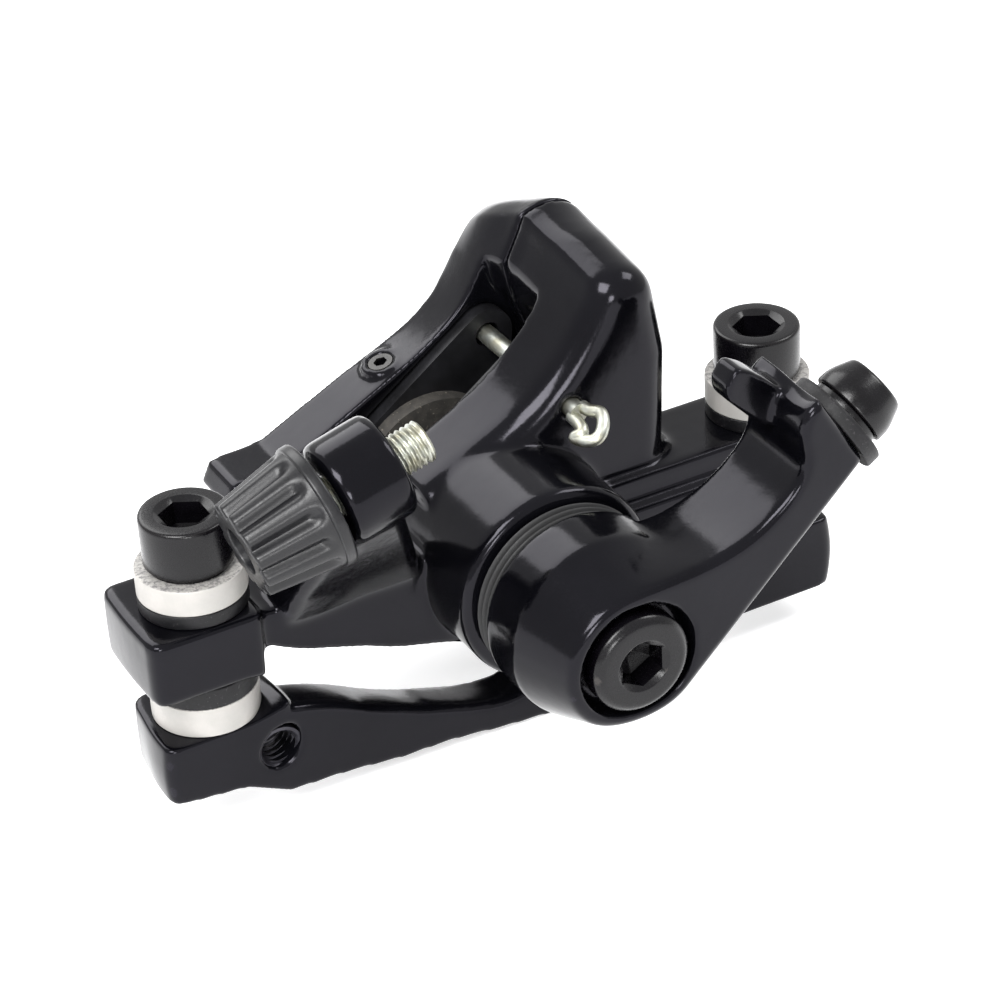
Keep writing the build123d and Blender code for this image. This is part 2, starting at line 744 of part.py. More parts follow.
# Lever arm: hub, curved arm, cable lip and clamp face
clamp_turn = math.radians(clamp_tilt)
clamp_way = (math.cos(clamp_turn), 0, math.sin(clamp_turn))
clamp_spot = (pivot_x + arm_span * clamp_shares[0], clamp_y, pivot_z + arm_span * clamp_shares[1])
clamp_seat = washer_t + lock_washer_t + 3 * fit_gap
clamp_thread = clamp_bolt_length - clamp_seat
taper_y = arm_front_y + hub_taper


def clamp_plane(out):
    """Plane across the clamp bolt's axis, at a distance out from the arm's end face."""
    spot = [place + out * way for place, way in zip(clamp_spot, clamp_way)]
    return Plane(tuple(spot), x_dir=(0, 1, 0), z_dir=clamp_way)


def end_place(up):
    """Place on the arm's end face, at a distance up the face from the clamp bolt's axis."""
    return (clamp_spot[0] - up * math.sin(clamp_turn), clamp_spot[2] + up * math.cos(clamp_turn))


def arm_side(radius, low):
    """Lower and end corners of the arm: the lower edge touches a circle about the pivot."""
    corner = end_place(-low)
    reach = math.dist(corner, pivot)
    edge_turn = math.atan2(corner[1] - pivot_z, corner[0] - pivot_x) + math.asin(radius / reach)
    run = math.sqrt(reach**2 - radius**2)
    touch = (corner[0] - run * math.cos(edge_turn), corner[1] - run * math.sin(edge_turn))
    return [pivot, touch, corner, end_place(end_high)]


arm_top = spread(arm_top_shares, arm_span, *pivot)
arm_sections = [(arm_back_y, hub_r, end_low), (taper_y, hub_r, end_low),
                (arm_front_y, hub_front_r, end_low - end_taper)]
with BuildPart() as actuator_arm:
    for depth, radius, low in arm_sections:
        edge_points = arm_side(radius, low)
        with BuildSketch(facing(depth)):
            with BuildLine():
                Polyline(*edge_points)
                Spline(edge_points[-1], *arm_top, (pivot_x, pivot_z + radius))
                Line((pivot_x, pivot_z + radius), pivot)
            make_face()
    loft(ruled=True)
    with BuildSketch(facing(lip_back_y)) as lip_sketch:
        Polygon(*spread(lip_shares, arm_span, *pivot), align=None)
        fillet(lip_sketch.vertices(), lip_round)
    extrude(amount=lip_back_y - lip_front_y)
    with BuildSketch(facing(hub_back_y)):
        with Locations(pivot):
            Circle(hub_r)
    extrude(amount=hub_back_y - taper_y)
    with BuildSketch(facing(taper_y)):
        with Locations(pivot):
            Circle(hub_r)
    with BuildSketch(facing(arm_front_y)):
        with Locations(pivot):
            Circle(hub_front_r)
    loft(ruled=True)
    fillet(actuator_arm.faces().sort_by(Axis.Y)[0].edges(), arm_edge)
    with BuildSketch(facing(arm_front_y)):
        with Locations(pivot):
            Circle(recess_r)
    extrude(amount=-recess_deep, mode=Mode.SUBTRACT)
    with BuildSketch(facing(arm_front_y)):
        with Locations(pivot):
            Circle(arm_bolt_shank_r + 2 * slide_gap)
    extrude(amount=arm_front_y - hub_back_y, mode=Mode.SUBTRACT)
    with BuildSketch(facing(hub_back_y + cut_over)):
        with Locations(pivot):
            Circle(stem_r + fit_gap)
            Rectangle(4 * stem_r, stem_flats + 2 * fit_gap, mode=Mode.INTERSECT)
    extrude(amount=hub_back_y + cut_over - stem_end_y + slide_gap, mode=Mode.SUBTRACT)
    with BuildSketch(facing(hub_back_y + cut_over)):
        with Locations(pivot):
            Circle(spring_coil_r + spring_wall)
    extrude(amount=spring_deep + cut_over, mode=Mode.SUBTRACT)
    with BuildSketch(clamp_plane(cut_over)):
        Circle(clamp_r + fit_gap)
    extrude(amount=-(clamp_thread + body_gap + cut_over), mode=Mode.SUBTRACT)
keep(actuator_arm, "actuator_arm")

# Bolt that holds the arm on the cam's stem
arm_seat_y = arm_front_y + recess_deep
with BuildPart() as arm_bolt:
    with BuildSketch(facing(arm_seat_y)):
        with Locations(pivot):
            Circle(arm_bolt_r)
    extrude(amount=arm_bolt_head)
    chamfer(arm_bolt.faces().sort_by(Axis.Y)[0].edges(), head_round)
    with BuildSketch(facing(arm_seat_y)):
        with Locations(pivot):
            Circle(arm_bolt_shank_r)
    extrude(amount=-arm_bolt_length)
    with BuildSketch(facing(arm_seat_y - arm_bolt_head)):
        with Locations(pivot):
            RegularPolygon(hex_flats / 2, 6, major_radius=False)
    extrude(amount=-hex_deep, mode=Mode.SUBTRACT)
keep(arm_bolt, "arm_bolt")

# Return spring in the hub
with BuildPart() as return_spring:
    with BuildSketch(facing(hub_back_y - spring_wire_r)):
        with Locations(pivot):
            Circle(spring_coil_r + spring_wire_r)
            Circle(spring_coil_r - spring_wire_r, mode=Mode.SUBTRACT)
    extrude(amount=spring_deep - 2 * spring_wire_r)
keep(return_spring, "return_spring")

# Cable clamp on the arm's end face
with BuildPart() as clamp_washer:
    with BuildSketch(clamp_plane(fit_gap)):
        Circle(washer_r)
        Circle(clamp_r + slide_gap, mode=Mode.SUBTRACT)
    extrude(amount=washer_t)
keep(clamp_washer, "clamp_washer")

with BuildPart() as lock_washer:
    with BuildSketch(clamp_plane(2 * fit_gap + washer_t)):
        Circle(lock_washer_r)
        Circle(clamp_r + slide_gap, mode=Mode.SUBTRACT)
    extrude(amount=lock_washer_t)
keep(lock_washer, "lock_washer")

with BuildPart() as clamp_bolt:
    with BuildSketch(clamp_plane(clamp_seat)):
        Circle(clamp_head_r)
    extrude(amount=clamp_head_h)
    chamfer(clamp_bolt.edges().sort_by(Axis(clamp_spot, clamp_way))[-1], clamp_head_taper * 2, clamp_head_taper)
    with BuildSketch(clamp_plane(clamp_seat)):
        Circle(clamp_r)
    extrude(amount=-clamp_bolt_length)
    with BuildSketch(clamp_plane(clamp_seat + clamp_head_h)):
        RegularPolygon(hex_flats * clamp_r / bolt_r / 2, 6, major_radius=False)
    extrude(amount=-clamp_head_h / 2, mode=Mode.SUBTRACT)
keep(clamp_bolt, "clamp_bolt")

# Pads: steel plates with an eye for the split pin, and their linings
with BuildPart() as outer_pad_plate:
    with BuildSketch(facing(outer_pad_y + pad_plate_t)):
        pad_outline(0)
        with Locations((pin_x, pin_z)):
            Circle(eye_hole_r, mode=Mode.SUBTRACT)
    extrude(amount=pad_plate_t)
keep(outer_pad_plate, "outer_pad_plate")

with BuildPart() as outer_pad_lining:
    with BuildSketch(facing(outer_pad_y + pad_plate_t + lining_t)):
        with Locations(pivot):
            Circle(lining_r)
    extrude(amount=lining_t)
keep(outer_pad_lining, "outer_pad_lining")

with BuildPart() as inner_pad_plate:
    with BuildSketch(facing(inner_pad_y)):
        pad_outline(0)
        with Locations((pin_x, pin_z)):
            Circle(eye_hole_r, mode=Mode.SUBTRACT)
    extrude(amount=pad_plate_t)
keep(inner_pad_plate, "inner_pad_plate")

with BuildPart() as inner_pad_lining:
    with BuildSketch(facing(inner_pad_y - pad_plate_t)):
        with Locations(pivot):
            Circle(lining_r)
    extrude(amount=lining_t)
keep(inner_pad_lining, "inner_pad_lining")

# Split pin through both castings and the pads' eyes, with its loop outboard and its legs bent apart
loop_y = hood_face_y - pin_wire_r
pin_across = (math.cos(math.radians(pin_turn)), 0, math.sin(math.radians(pin_turn)))
pin_normal = (-math.sin(math.radians(pin_turn)), 0, math.cos(math.radians(pin_turn)))


def loop_place(along, across):
    """Place on the pin's loop: a share of its length outboard, drooping, and a share of its half width."""
    sag = pin_droop * along**2
    return (pin_x + pin_loop_w * across * pin_across[0] + sag * pin_normal[0],
            loop_y - pin_loop_l * along,
            pin_z + pin_loop_w * across * pin_across[2] - sag * pin_normal[2])


loop_places = [loop_place(along, across) for along, across in pin_loop_shares]
with BuildPart() as split_pin:
    with BuildSketch(facing(inner_back_y + pin_stub)):
        with Locations((pin_x, pin_z)):
            Circle(pin_r)
    extrude(amount=inner_back_y + pin_stub - loop_y + pin_stub)
    with BuildLine():
        Spline(*loop_places, tangents=((0, -1, 0), (0, 1, 0)))
    with BuildSketch(Plane(loop_places[0], x_dir=(1, 0, 0), z_dir=(0, -1, 0))):
        Circle(pin_wire_r)
    sweep()
    for side in (-1, 1):
        out = side * (pin_r - pin_tail_r)
        foot = (pin_x + out * pin_across[0], inner_back_y, pin_z + out * pin_across[2])
        lean = math.radians(side * pin_tail_spread)
        leg_way = (math.sin(lean) * pin_across[0], math.cos(lean), math.sin(lean) * pin_across[2])
        with BuildSketch(Plane(foot, x_dir=pin_normal, z_dir=leg_way)):
            Circle(pin_tail_r)
        extrude(amount=pin_tail)
keep(split_pin, "split_pin")

# Pad screw behind the inner pad
with BuildPart() as pad_screw:
    with BuildSketch(facing(inner_back_y)):
        with Locations(pivot):
            Circle(screw_r)
    extrude(amount=inner_back_y - inner_pad_y - fit_gap)
    chamfer(pad_screw.faces().sort_by(Axis.Y)[-1].edges(), head_round)
    with BuildSketch(facing(inner_back_y)):
        with Locations(pivot):
            RegularPolygon(hex_flats / 2, 6, major_radius=False)
    extrude(amount=screw_hex_deep, mode=Mode.SUBTRACT)
keep(pad_screw, "pad_screw")

# Lock screw in the boss on the inner casting
with BuildPart() as lock_screw:
    with BuildSketch(lock_plane(lock_boss_reach - lock_sink)):
        Circle(lock_r)
    extrude(amount=screw_r + slide_gap + lock_sink - lock_boss_reach)
    with BuildSketch(lock_plane(lock_boss_reach - lock_sink)):
        RegularPolygon(lock_hex / 2, 6, major_radius=False)
    extrude(amount=-lock_hex_deep, mode=Mode.SUBTRACT)
keep(lock_screw, "lock_screw")

# Barrel adjuster: threaded stud in the stop and a fluted knob
knob_end = -boss_length / 2 - knob_gap
seat_end = knob_end - knob_length + housing_deep
knob_lean = math.degrees(math.atan2(knob_big_r - knob_small_r, knob_length))
with BuildPart() as adjuster_stud:
    with BuildSketch(adjuster_plane(seat_end)):
        Circle(stud_r)
        Circle(stud_bore_r, mode=Mode.SUBTRACT)
    extrude(amount=boss_length / 2 + stud_out - seat_end)
keep(adjuster_stud, "adjuster_stud")

with BuildPart() as adjuster_knob:
    with BuildSketch(adjuster_plane(knob_end)):
        Circle(knob_big_r)
    with BuildSketch(adjuster_plane(knob_end - knob_length)):
        Circle(knob_small_r)
    loft(ruled=True)
    fillet(adjuster_knob.edges(), knob_round)
    for flute in range(knob_flutes):
        turned = Location((0, 0, 0), (0, 0, 360 / knob_flutes * flute))
        tilted = Location((knob_big_r + flute_r * flute_out_share, 0, 0), (0, knob_lean, 0))
        with BuildSketch(Plane(adjuster_plane(knob_end - knob_rim).location * turned * tilted)):
            Circle(flute_r)
        extrude(amount=-2 * knob_length, mode=Mode.SUBTRACT)
    with BuildSketch(adjuster_plane(knob_end)):
        Circle(stud_r + fit_gap)
    extrude(amount=-knob_length, mode=Mode.SUBTRACT)
    with BuildSketch(adjuster_plane(knob_end - knob_length)):
        Circle(housing_r)
    extrude(amount=housing_deep, mode=Mode.SUBTRACT)
keep(adjuster_knob, "adjuster_knob")
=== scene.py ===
import math

import bmesh
import bpy
from mathutils import Matrix, Vector


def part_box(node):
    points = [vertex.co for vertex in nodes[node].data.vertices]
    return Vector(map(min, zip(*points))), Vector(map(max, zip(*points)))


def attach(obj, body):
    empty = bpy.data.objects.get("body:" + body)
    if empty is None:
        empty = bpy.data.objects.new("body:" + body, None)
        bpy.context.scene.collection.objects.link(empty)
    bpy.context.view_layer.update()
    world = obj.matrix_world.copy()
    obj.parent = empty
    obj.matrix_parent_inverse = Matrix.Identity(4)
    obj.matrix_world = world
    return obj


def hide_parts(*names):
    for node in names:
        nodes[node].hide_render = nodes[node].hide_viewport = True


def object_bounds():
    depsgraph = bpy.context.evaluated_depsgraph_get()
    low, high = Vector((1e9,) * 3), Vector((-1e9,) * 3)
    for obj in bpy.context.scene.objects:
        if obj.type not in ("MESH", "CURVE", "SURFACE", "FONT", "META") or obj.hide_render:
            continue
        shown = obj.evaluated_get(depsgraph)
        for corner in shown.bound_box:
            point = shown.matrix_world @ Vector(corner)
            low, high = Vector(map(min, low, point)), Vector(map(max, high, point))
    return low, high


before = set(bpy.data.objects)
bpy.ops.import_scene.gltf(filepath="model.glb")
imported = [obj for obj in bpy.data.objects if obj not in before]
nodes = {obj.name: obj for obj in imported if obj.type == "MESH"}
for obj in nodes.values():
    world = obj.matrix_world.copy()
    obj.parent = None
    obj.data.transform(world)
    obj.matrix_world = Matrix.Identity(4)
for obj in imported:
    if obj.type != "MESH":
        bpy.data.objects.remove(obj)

cadLow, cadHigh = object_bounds()
scene = bpy.context.scene
mm = 0.001
print("frame loaded")


def linear(hexText):
    # sRGB text to the linear colour that shaders take
    channels = [int(hexText[i:i + 2], 16) / 255 for i in (1, 3, 5)]
    shades = [c / 12.92 if c <= 0.04045 else ((c + 0.055) / 1.055) ** 2.4 for c in channels]
    return (*shades, 1.0)


def addNode(tree, kind, inputs=None, **settings):
    node = tree.nodes.new(kind)
    for name, value in settings.items():
        setattr(node, name, value)
    for socket, value in (inputs or {}).items():
        if isinstance(value, bpy.types.NodeSocket):
            tree.links.new(value, node.inputs[socket])
        else:
            node.inputs[socket].default_value = value
    return node


def calc(tree, operation, first, second=0.0, third=0.0, clamp=False):
    node = addNode(tree, "ShaderNodeMath", {0: first, 1: second, 2: third}, operation=operation,
                   use_clamp=clamp)
    return node.outputs[0]


def newObject(name, mesh):
    piece = bpy.data.objects.new(name, mesh)
    scene.collection.objects.link(piece)
    return piece


def bakeModifiers(piece):
    # the evaluated mesh takes the place of the live modifiers
    graph = bpy.context.evaluated_depsgraph_get()
    mesh = bpy.data.meshes.new_from_object(piece.evaluated_get(graph))
    piece.modifiers.clear()
    piece.data = mesh


def settle(piece, look):
    # last step of each piece: name, finish as its one material, body, and hiding the nodes that
    # it stands for
    piece.name = look["name"]
    piece.data.name = look["name"]
    piece.data.materials.clear()
    piece.data.materials.append(finishes[look["finish"]])
    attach(piece, look["body"])
    if look["replaces"]:
        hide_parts(*look["replaces"])


def seatAt(place, axis):
    # placement whose Z axis is the given direction
    turn = Vector(axis).to_track_quat("Z", "Y").to_matrix().to_4x4()
    return Matrix.Translation(Vector(place)) @ turn


def middle(node):
    low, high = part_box(node)
    return (low + high) / 2


# turned profiles: each row is radius and height in mm, then rounding, then True for a hexagon
profile = {
    "cornerParts": 4,     # faces across a rounded corner
    "cornerShare": 0.48,  # share of a side that a rounding may take
    "onAxis": 1e-6,       # a smaller radius is a point on the axis
    "sides": 96,
    "rung": 0.11,         # row distance where a thread is cut
    "endTilt": 0.8,       # a face counts as an end face above this share of the axis
    "sharp": 32,          # degrees
}


def softCorners(rows, ring):
    # rounds the corners; the ends of an open profile stay as they are
    count = len(rows)
    soft = []
    for i, (radius, height, rounding, hexed) in enumerate(rows):
        if not rounding or (not ring and i in (0, count - 1)):
            soft.append((radius, height, hexed))
            continue
        here = Vector((radius, height))
        before = Vector(rows[i - 1][:2]) - here
        after = Vector(rows[(i + 1) % count][:2]) - here
        start = before.normalized() * min(rounding, before.length * profile["cornerShare"])
        end = after.normalized() * min(rounding, after.length * profile["cornerShare"])
        for step in range(profile["cornerParts"] + 1):
            t = step / profile["cornerParts"]
            spot = here + start * (1 - t) ** 2 + end * t ** 2
            soft.append((spot.x, spot.y, hexed))
    return soft


def rowVerts(built, radius, height, hexed, sides):
    if radius < profile["onAxis"]:
        return [built.verts.new((0, 0, height * mm))] * sides
    verts = []
    for k in range(sides):
        angle = 2 * math.pi * k / sides
        fromFlat = (angle + math.pi / 6) % (math.pi / 3) - math.pi / 6
        reach = radius / math.cos(fromFlat) if hexed else radius
        x, y = reach * mm * math.cos(angle), reach * mm * math.sin(angle)
        verts.append(built.verts.new((x, y, height * mm)))
    return verts


def turnedMesh(rows, sides, ring):
    # a piece turned about Z; a ring's last row joins its first
    rows = [tuple(row) + (0.0, False)[len(row) - 2:] for row in rows]
    built = bmesh.new()
    loops = [rowVerts(built, *row, sides) for row in softCorners(rows, ring)]
    pairs = list(zip(loops, loops[1:])) + ([(loops[-1], loops[0])] if ring else [])
    for lower, upper in pairs:
        for k in range(sides):
            after = (k + 1) % sides
            corners = []
            for vert in (lower[k], lower[after], upper[after], upper[k]):
                if vert not in corners:
                    corners.append(vert)
            if len(corners) > 2:
                built.faces.new(corners)
    bmesh.ops.recalc_face_normals(built, faces=built.faces)
    mesh = bpy.data.meshes.new("turned")
    built.to_mesh(mesh)
    built.free()
    return mesh


def rungs(radius, start, end, step=profile["rung"], endRadius=None):
    # close rows along a plain length, for threads and flutes to be cut in
    count = max(2, round(abs(end - start) / step))
    last = radius if endRadius is None else endRadius
    return [(radius + (last - radius) * i / count, start + (end - start) * i / count)
            for i in range(count + 1)]


socketKinds = {type(None): "NodeSocketMaterial", int: "NodeSocketInt", float: "NodeSocketFloat"}


def newTree(name, inputs):
    # an input with the value None is a material
    tree = bpy.data.node_groups.new(name, "GeometryNodeTree")
    tree.interface.new_socket("Geometry", in_out="INPUT", socket_type="NodeSocketGeometry")
    for label, value in inputs.items():
        socket = tree.interface.new_socket(label, in_out="INPUT",
                                           socket_type=socketKinds[type(value)])
        if value is not None:
            socket.default_value = value
    tree.interface.new_socket("Geometry", in_out="OUTPUT", socket_type="NodeSocketGeometry")
    return tree, tree.nodes.new("NodeGroupInput").outputs


def endTree(tree, shape, material):
    real = addNode(tree, "GeometryNodeRealizeInstances", {"Geometry": shape})
    painted = addNode(tree, "GeometryNodeSetMaterial",
                      {"Geometry": real.outputs[0], "Material": material})
    addNode(tree, "NodeGroupOutput", {0: painted.outputs[0]})


def useTree(piece, tree, values):
    modifier = piece.modifiers.new("nodes", "NODES")
    modifier.node_group = tree
    names = {item.name: item.identifier for item in tree.interface.items_tree
             if item.item_type == "SOCKET" and item.in_out == "INPUT"}
    for name, value in values.items():
        modifier[names[name]] = value
    bakeModifiers(piece)


def polarOf(tree):
    # radius, angle as a share of a turn, height, and the direction out from the axis
    place = addNode(tree, "GeometryNodeInputPosition").outputs[0]
    parts = addNode(tree, "ShaderNodeSeparateXYZ", {0: place}).outputs
    flat = addNode(tree, "ShaderNodeCombineXYZ", {"X": parts["X"], "Y": parts["Y"]}).outputs[0]
    length = addNode(tree, "ShaderNodeVectorMath", {0: flat}, operation="LENGTH")
    out = addNode(tree, "ShaderNodeVectorMath", {0: flat}, operation="NORMALIZE")
    angle = calc(tree, "DIVIDE", calc(tree, "ARCTAN2", parts["Y"], parts["X"]), 2 * math.pi)
    return length.outputs["Value"], angle, parts["Z"], out.outputs[0]


def cutWall(tree, given, height, out, hollow, onWall, fade):
    # moves the wall in by the hollow, which fades at both ends of the cut
    fadeIn = calc(tree, "DIVIDE", calc(tree, "SUBTRACT", height, given["From"]), fade, clamp=True)
    fadeOut = calc(tree, "DIVIDE", calc(tree, "SUBTRACT", given["To"], height), fade, clamp=True)
    share = calc(tree, "MULTIPLY", calc(tree, "MULTIPLY", hollow, onWall),
                 calc(tree, "MULTIPLY", fadeIn, fadeOut))
    amount = calc(tree, "MULTIPLY", calc(tree, "MULTIPLY", share, given["Depth"]), -1.0)
    shift = addNode(tree, "ShaderNodeVectorMath", {0: out, "Scale": amount}, operation="SCALE")
    moved = addNode(tree, "GeometryNodeSetPosition",
                    {"Geometry": given["Geometry"], "Offset": shift.outputs[0]})
    endTree(tree, moved.outputs[0], given["Material"])


threadForm = {"steep": 1.3, "flat": 0.1}  # flank slope and the share left flat on the crest
fluteForm = {"narrow": 2.2}               # a higher power makes narrower flutes
coilForm = {"steps": 48, "sides": 12}     # parts of one turn, and of the wire's section


def makeThreadTree():
    # a helical groove in the wall at one radius; a negative depth cuts outwards
    tree, given = newTree("cutThread", {"Radius": 0.0025, "Band": 0.0002, "Pitch": 0.0008,
                                        "Depth": 0.0004, "From": 0.0, "To": 0.01,
                                        "Material": None})
    radius, angle, height, out = polarOf(tree)
    turns = calc(tree, "SUBTRACT", calc(tree, "DIVIDE", height, given["Pitch"]), angle)
    saw = calc(tree, "MULTIPLY_ADD", calc(tree, "FRACT", turns), 2.0, -1.0)
    valley = calc(tree, "MULTIPLY_ADD", calc(tree, "ABSOLUTE", saw), threadForm["steep"],
                  -threadForm["flat"], clamp=True)
    away = calc(tree, "ABSOLUTE", calc(tree, "SUBTRACT", radius, given["Radius"]))
    onWall = calc(tree, "LESS_THAN", away, given["Band"])
    cutWall(tree, given, height, out, valley, onWall, given["Pitch"])
    return tree


def makeFluteTree():
    # shallow grip flutes that fade towards both ends
    tree, given = newTree("cutFlutes", {"Inner radius": 0.004, "Count": 12, "Depth": 0.0008,
                                        "From": 0.0, "To": 0.01, "Fade": 0.001,
                                        "Material": None})
    radius, angle, height, out = polarOf(tree)
    turns = calc(tree, "MULTIPLY", angle, given["Count"])
    wave = calc(tree, "COSINE", calc(tree, "MULTIPLY", turns, 2 * math.pi))
    hollow = calc(tree, "POWER", calc(tree, "MULTIPLY_ADD", wave, 0.5, 0.5),
                  fluteForm["narrow"])
    onWall = calc(tree, "GREATER_THAN", radius, given["Inner radius"])
    cutWall(tree, given, height, out, hollow, onWall, given["Fade"])
    return tree


def makeCoilTree():
    # round wire wound on a spiral
    tree, given = newTree("windCoil", {"Coil radius": 0.0079, "Wire radius": 0.0007,
                                       "Turns": 2.4, "Height": 0.003, "Material": None})
    path = addNode(tree, "GeometryNodeCurveSpiral",
                   {"Resolution": coilForm["steps"], "Rotations": given["Turns"],
                    "Start Radius": given["Coil radius"], "End Radius": given["Coil radius"],
                    "Height": given["Height"]})
    section = addNode(tree, "GeometryNodeCurvePrimitiveCircle",
                      {"Resolution": coilForm["sides"], "Radius": given["Wire radius"]})
    wire = addNode(tree, "GeometryNodeCurveToMesh",
                   {"Curve": path.outputs[0], "Profile Curve": section.outputs[0],
                    "Fill Caps": True})
    endTree(tree, wire.outputs[0], given["Material"])
    return tree


def makeTurned(look, rows, places, tree=None, values=None, sides=profile["sides"], ring=False,
               sharp=profile["sharp"]):
    # one turned shape at every place, cut by a node tree where it has one, as a single piece
    built = bmesh.new()
    for placement in places:
        part = newObject("part", turnedMesh(rows, sides, ring))
        if tree:
            useTree(part, tree, {**values, "Material": finishes[look["finish"]]})
        # marks end faces, for finishes that differ there
        ends = part.data.attributes.new("endFace", "FLOAT", "FACE")
        ends.data.foreach_set("value", [float(abs(face.normal.z) > profile["endTilt"])
                                        for face in part.data.polygons])
        part.data.transform(placement)
        built.from_mesh(part.data)
        bpy.data.objects.remove(part)
    mesh = bpy.data.meshes.new(look["name"])
    built.to_mesh(mesh)
    built.free()
    mesh.shade_smooth()
    mesh.set_sharp_from_angle(angle=math.radians(sharp))
    settle(newObject(look["name"], mesh), look)
    print(look["name"], len(mesh.polygons), "faces")


# camera fitted to the photograph
view = {
    "right": (0.8739, -0.4834, -0.0497),
    "up": (0.2974, 0.4512, 0.8412),
    "back": (-0.3843, -0.7501, 0.5382),
    "place": (-0.13917, -0.27959, 0.22389),
    "lens": 118.69,
    "sensor": 36.0,
    "clipStart": 0.01,
}
cameraData = bpy.data.cameras.new("camera")
cameraData.lens = view["lens"]
cameraData.sensor_width = view["sensor"]
cameraData.clip_start = view["clipStart"]
camera = bpy.data.objects.new("camera", cameraData)
aim = Matrix((view["right"], view["up"], view["back"])).transposed().to_4x4()
camera.matrix_world = Matrix.Translation(view["place"]) @ aim
scene.collection.objects.link(camera)
scene.camera = camera
scene.view_settings.view_transform = "Standard"

studio = {
    "floorSize": 6.0,
    "floorColour": "#e9e9ea",
    "floorGlow": 0.55,  # share of white that the floor shows by itself, the rest keeps the shadow
    "worldLevel": 0.62,
    "lamps": [  # place in metres, size, watts
        ((-0.55, -0.35, 0.75), 0.48, 13.5),
        ((0.60, -0.15, 0.70), 0.36, 4.0),
        ((-0.10, 0.60, 0.55), 0.50, 3.6),
        ((-0.30, -0.80, 0.25), 0.22, 3.0),
    ],
    "aim": (0.005, 0.0, 0.015),
}
white = (1, 1, 1, 1)


def seenAsWhite(tree):
    # camera, mirrored and transmitted rays see white
    rays = addNode(tree, "ShaderNodeLightPath").outputs
    seen = calc(tree, "MAXIMUM", rays["Is Camera Ray"], rays["Is Glossy Ray"])
    return calc(tree, "MAXIMUM", seen, rays["Is Transmission Ray"])


def makeFloor():
    bpy.ops.mesh.primitive_plane_add(size=studio["floorSize"], location=(0, 0, cadLow.z))
    floor = bpy.context.object
    floor.name = "floor"
    material = bpy.data.materials.new("paleFloor")
    material.use_nodes = True
    tree = material.node_tree
    tree.nodes.clear()
    plain = addNode(tree, "ShaderNodeBsdfDiffuse", {"Color": linear(studio["floorColour"])})
    glow = addNode(tree, "ShaderNodeEmission", {"Color": white, "Strength": studio["floorGlow"]})
    both = addNode(tree, "ShaderNodeAddShader", {0: plain.outputs[0], 1: glow.outputs[0]})
    mixed = addNode(tree, "ShaderNodeMixShader",
                    {0: seenAsWhite(tree), 1: plain.outputs[0], 2: both.outputs[0]})
    addNode(tree, "ShaderNodeOutputMaterial", {"Surface": mixed.outputs[0]})
    floor.data.materials.append(material)


def makeWorld():
    world = bpy.data.worlds.new("paleRoom")
    world.use_nodes = True
    scene.world = world
    tree = world.node_tree
    tree.nodes.clear()
    dim = addNode(tree, "ShaderNodeBackground",
                  {"Color": white, "Strength": studio["worldLevel"]})
    full = addNode(tree, "ShaderNodeBackground", {"Color": white, "Strength": 1.0})
    mixed = addNode(tree, "ShaderNodeMixShader",
                    {0: seenAsWhite(tree), 1: dim.outputs[0], 2: full.outputs[0]})
    addNode(tree, "ShaderNodeOutputWorld", {"Surface": mixed.outputs[0]})


def makeLamps():
    for number, (place, size, watts) in enumerate(studio["lamps"]):
        lampData = bpy.data.lights.new(f"softbox{number}", "AREA")
        lampData.shape = "SQUARE"
        lampData.size = size
        lampData.energy = watts
        lamp = bpy.data.objects.new(f"softbox{number}", lampData)
        lamp.matrix_world = seatAt(place, Vector(place) - Vector(studio["aim"]))
        scene.collection.objects.link(lamp)


makeFloor()
makeWorld()
makeLamps()
print("camera, floor and lamps placed")


def noise(tree, place, size, detail, rough=0.5):
    # size in mm
    return addNode(tree, "ShaderNodeTexNoise",
                   {"Vector": place, "Scale": 1 / (size * mm), "Detail": detail,
                    "Roughness": rough}).outputs[0]


def spread(tree, value, low, high, toLow=0.0, toHigh=1.0):
    return addNode(tree, "ShaderNodeMapRange",
                   {0: value, 1: low, 2: high, 3: toLow, 4: toHigh}).outputs[0]


def mixColour(tree, share, first, hexText):
    return addNode(tree, "ShaderNodeMix", {0: share, 6: first, 7: linear(hexText)},
                   data_type="RGBA").outputs[2]


# where each layer sets in, by share of the noise or of the edges' pointiness, and its noise
layers = {"patch": (0.35, 0.65), "sheen": (0.3, 0.7), "edge": (0.53, 0.62), "edgeShare": 0.6,
          "grainRough": 0.62, "grainDetail": 3.0, "patchDetail": 2.0, "waveDetail": 1.0}


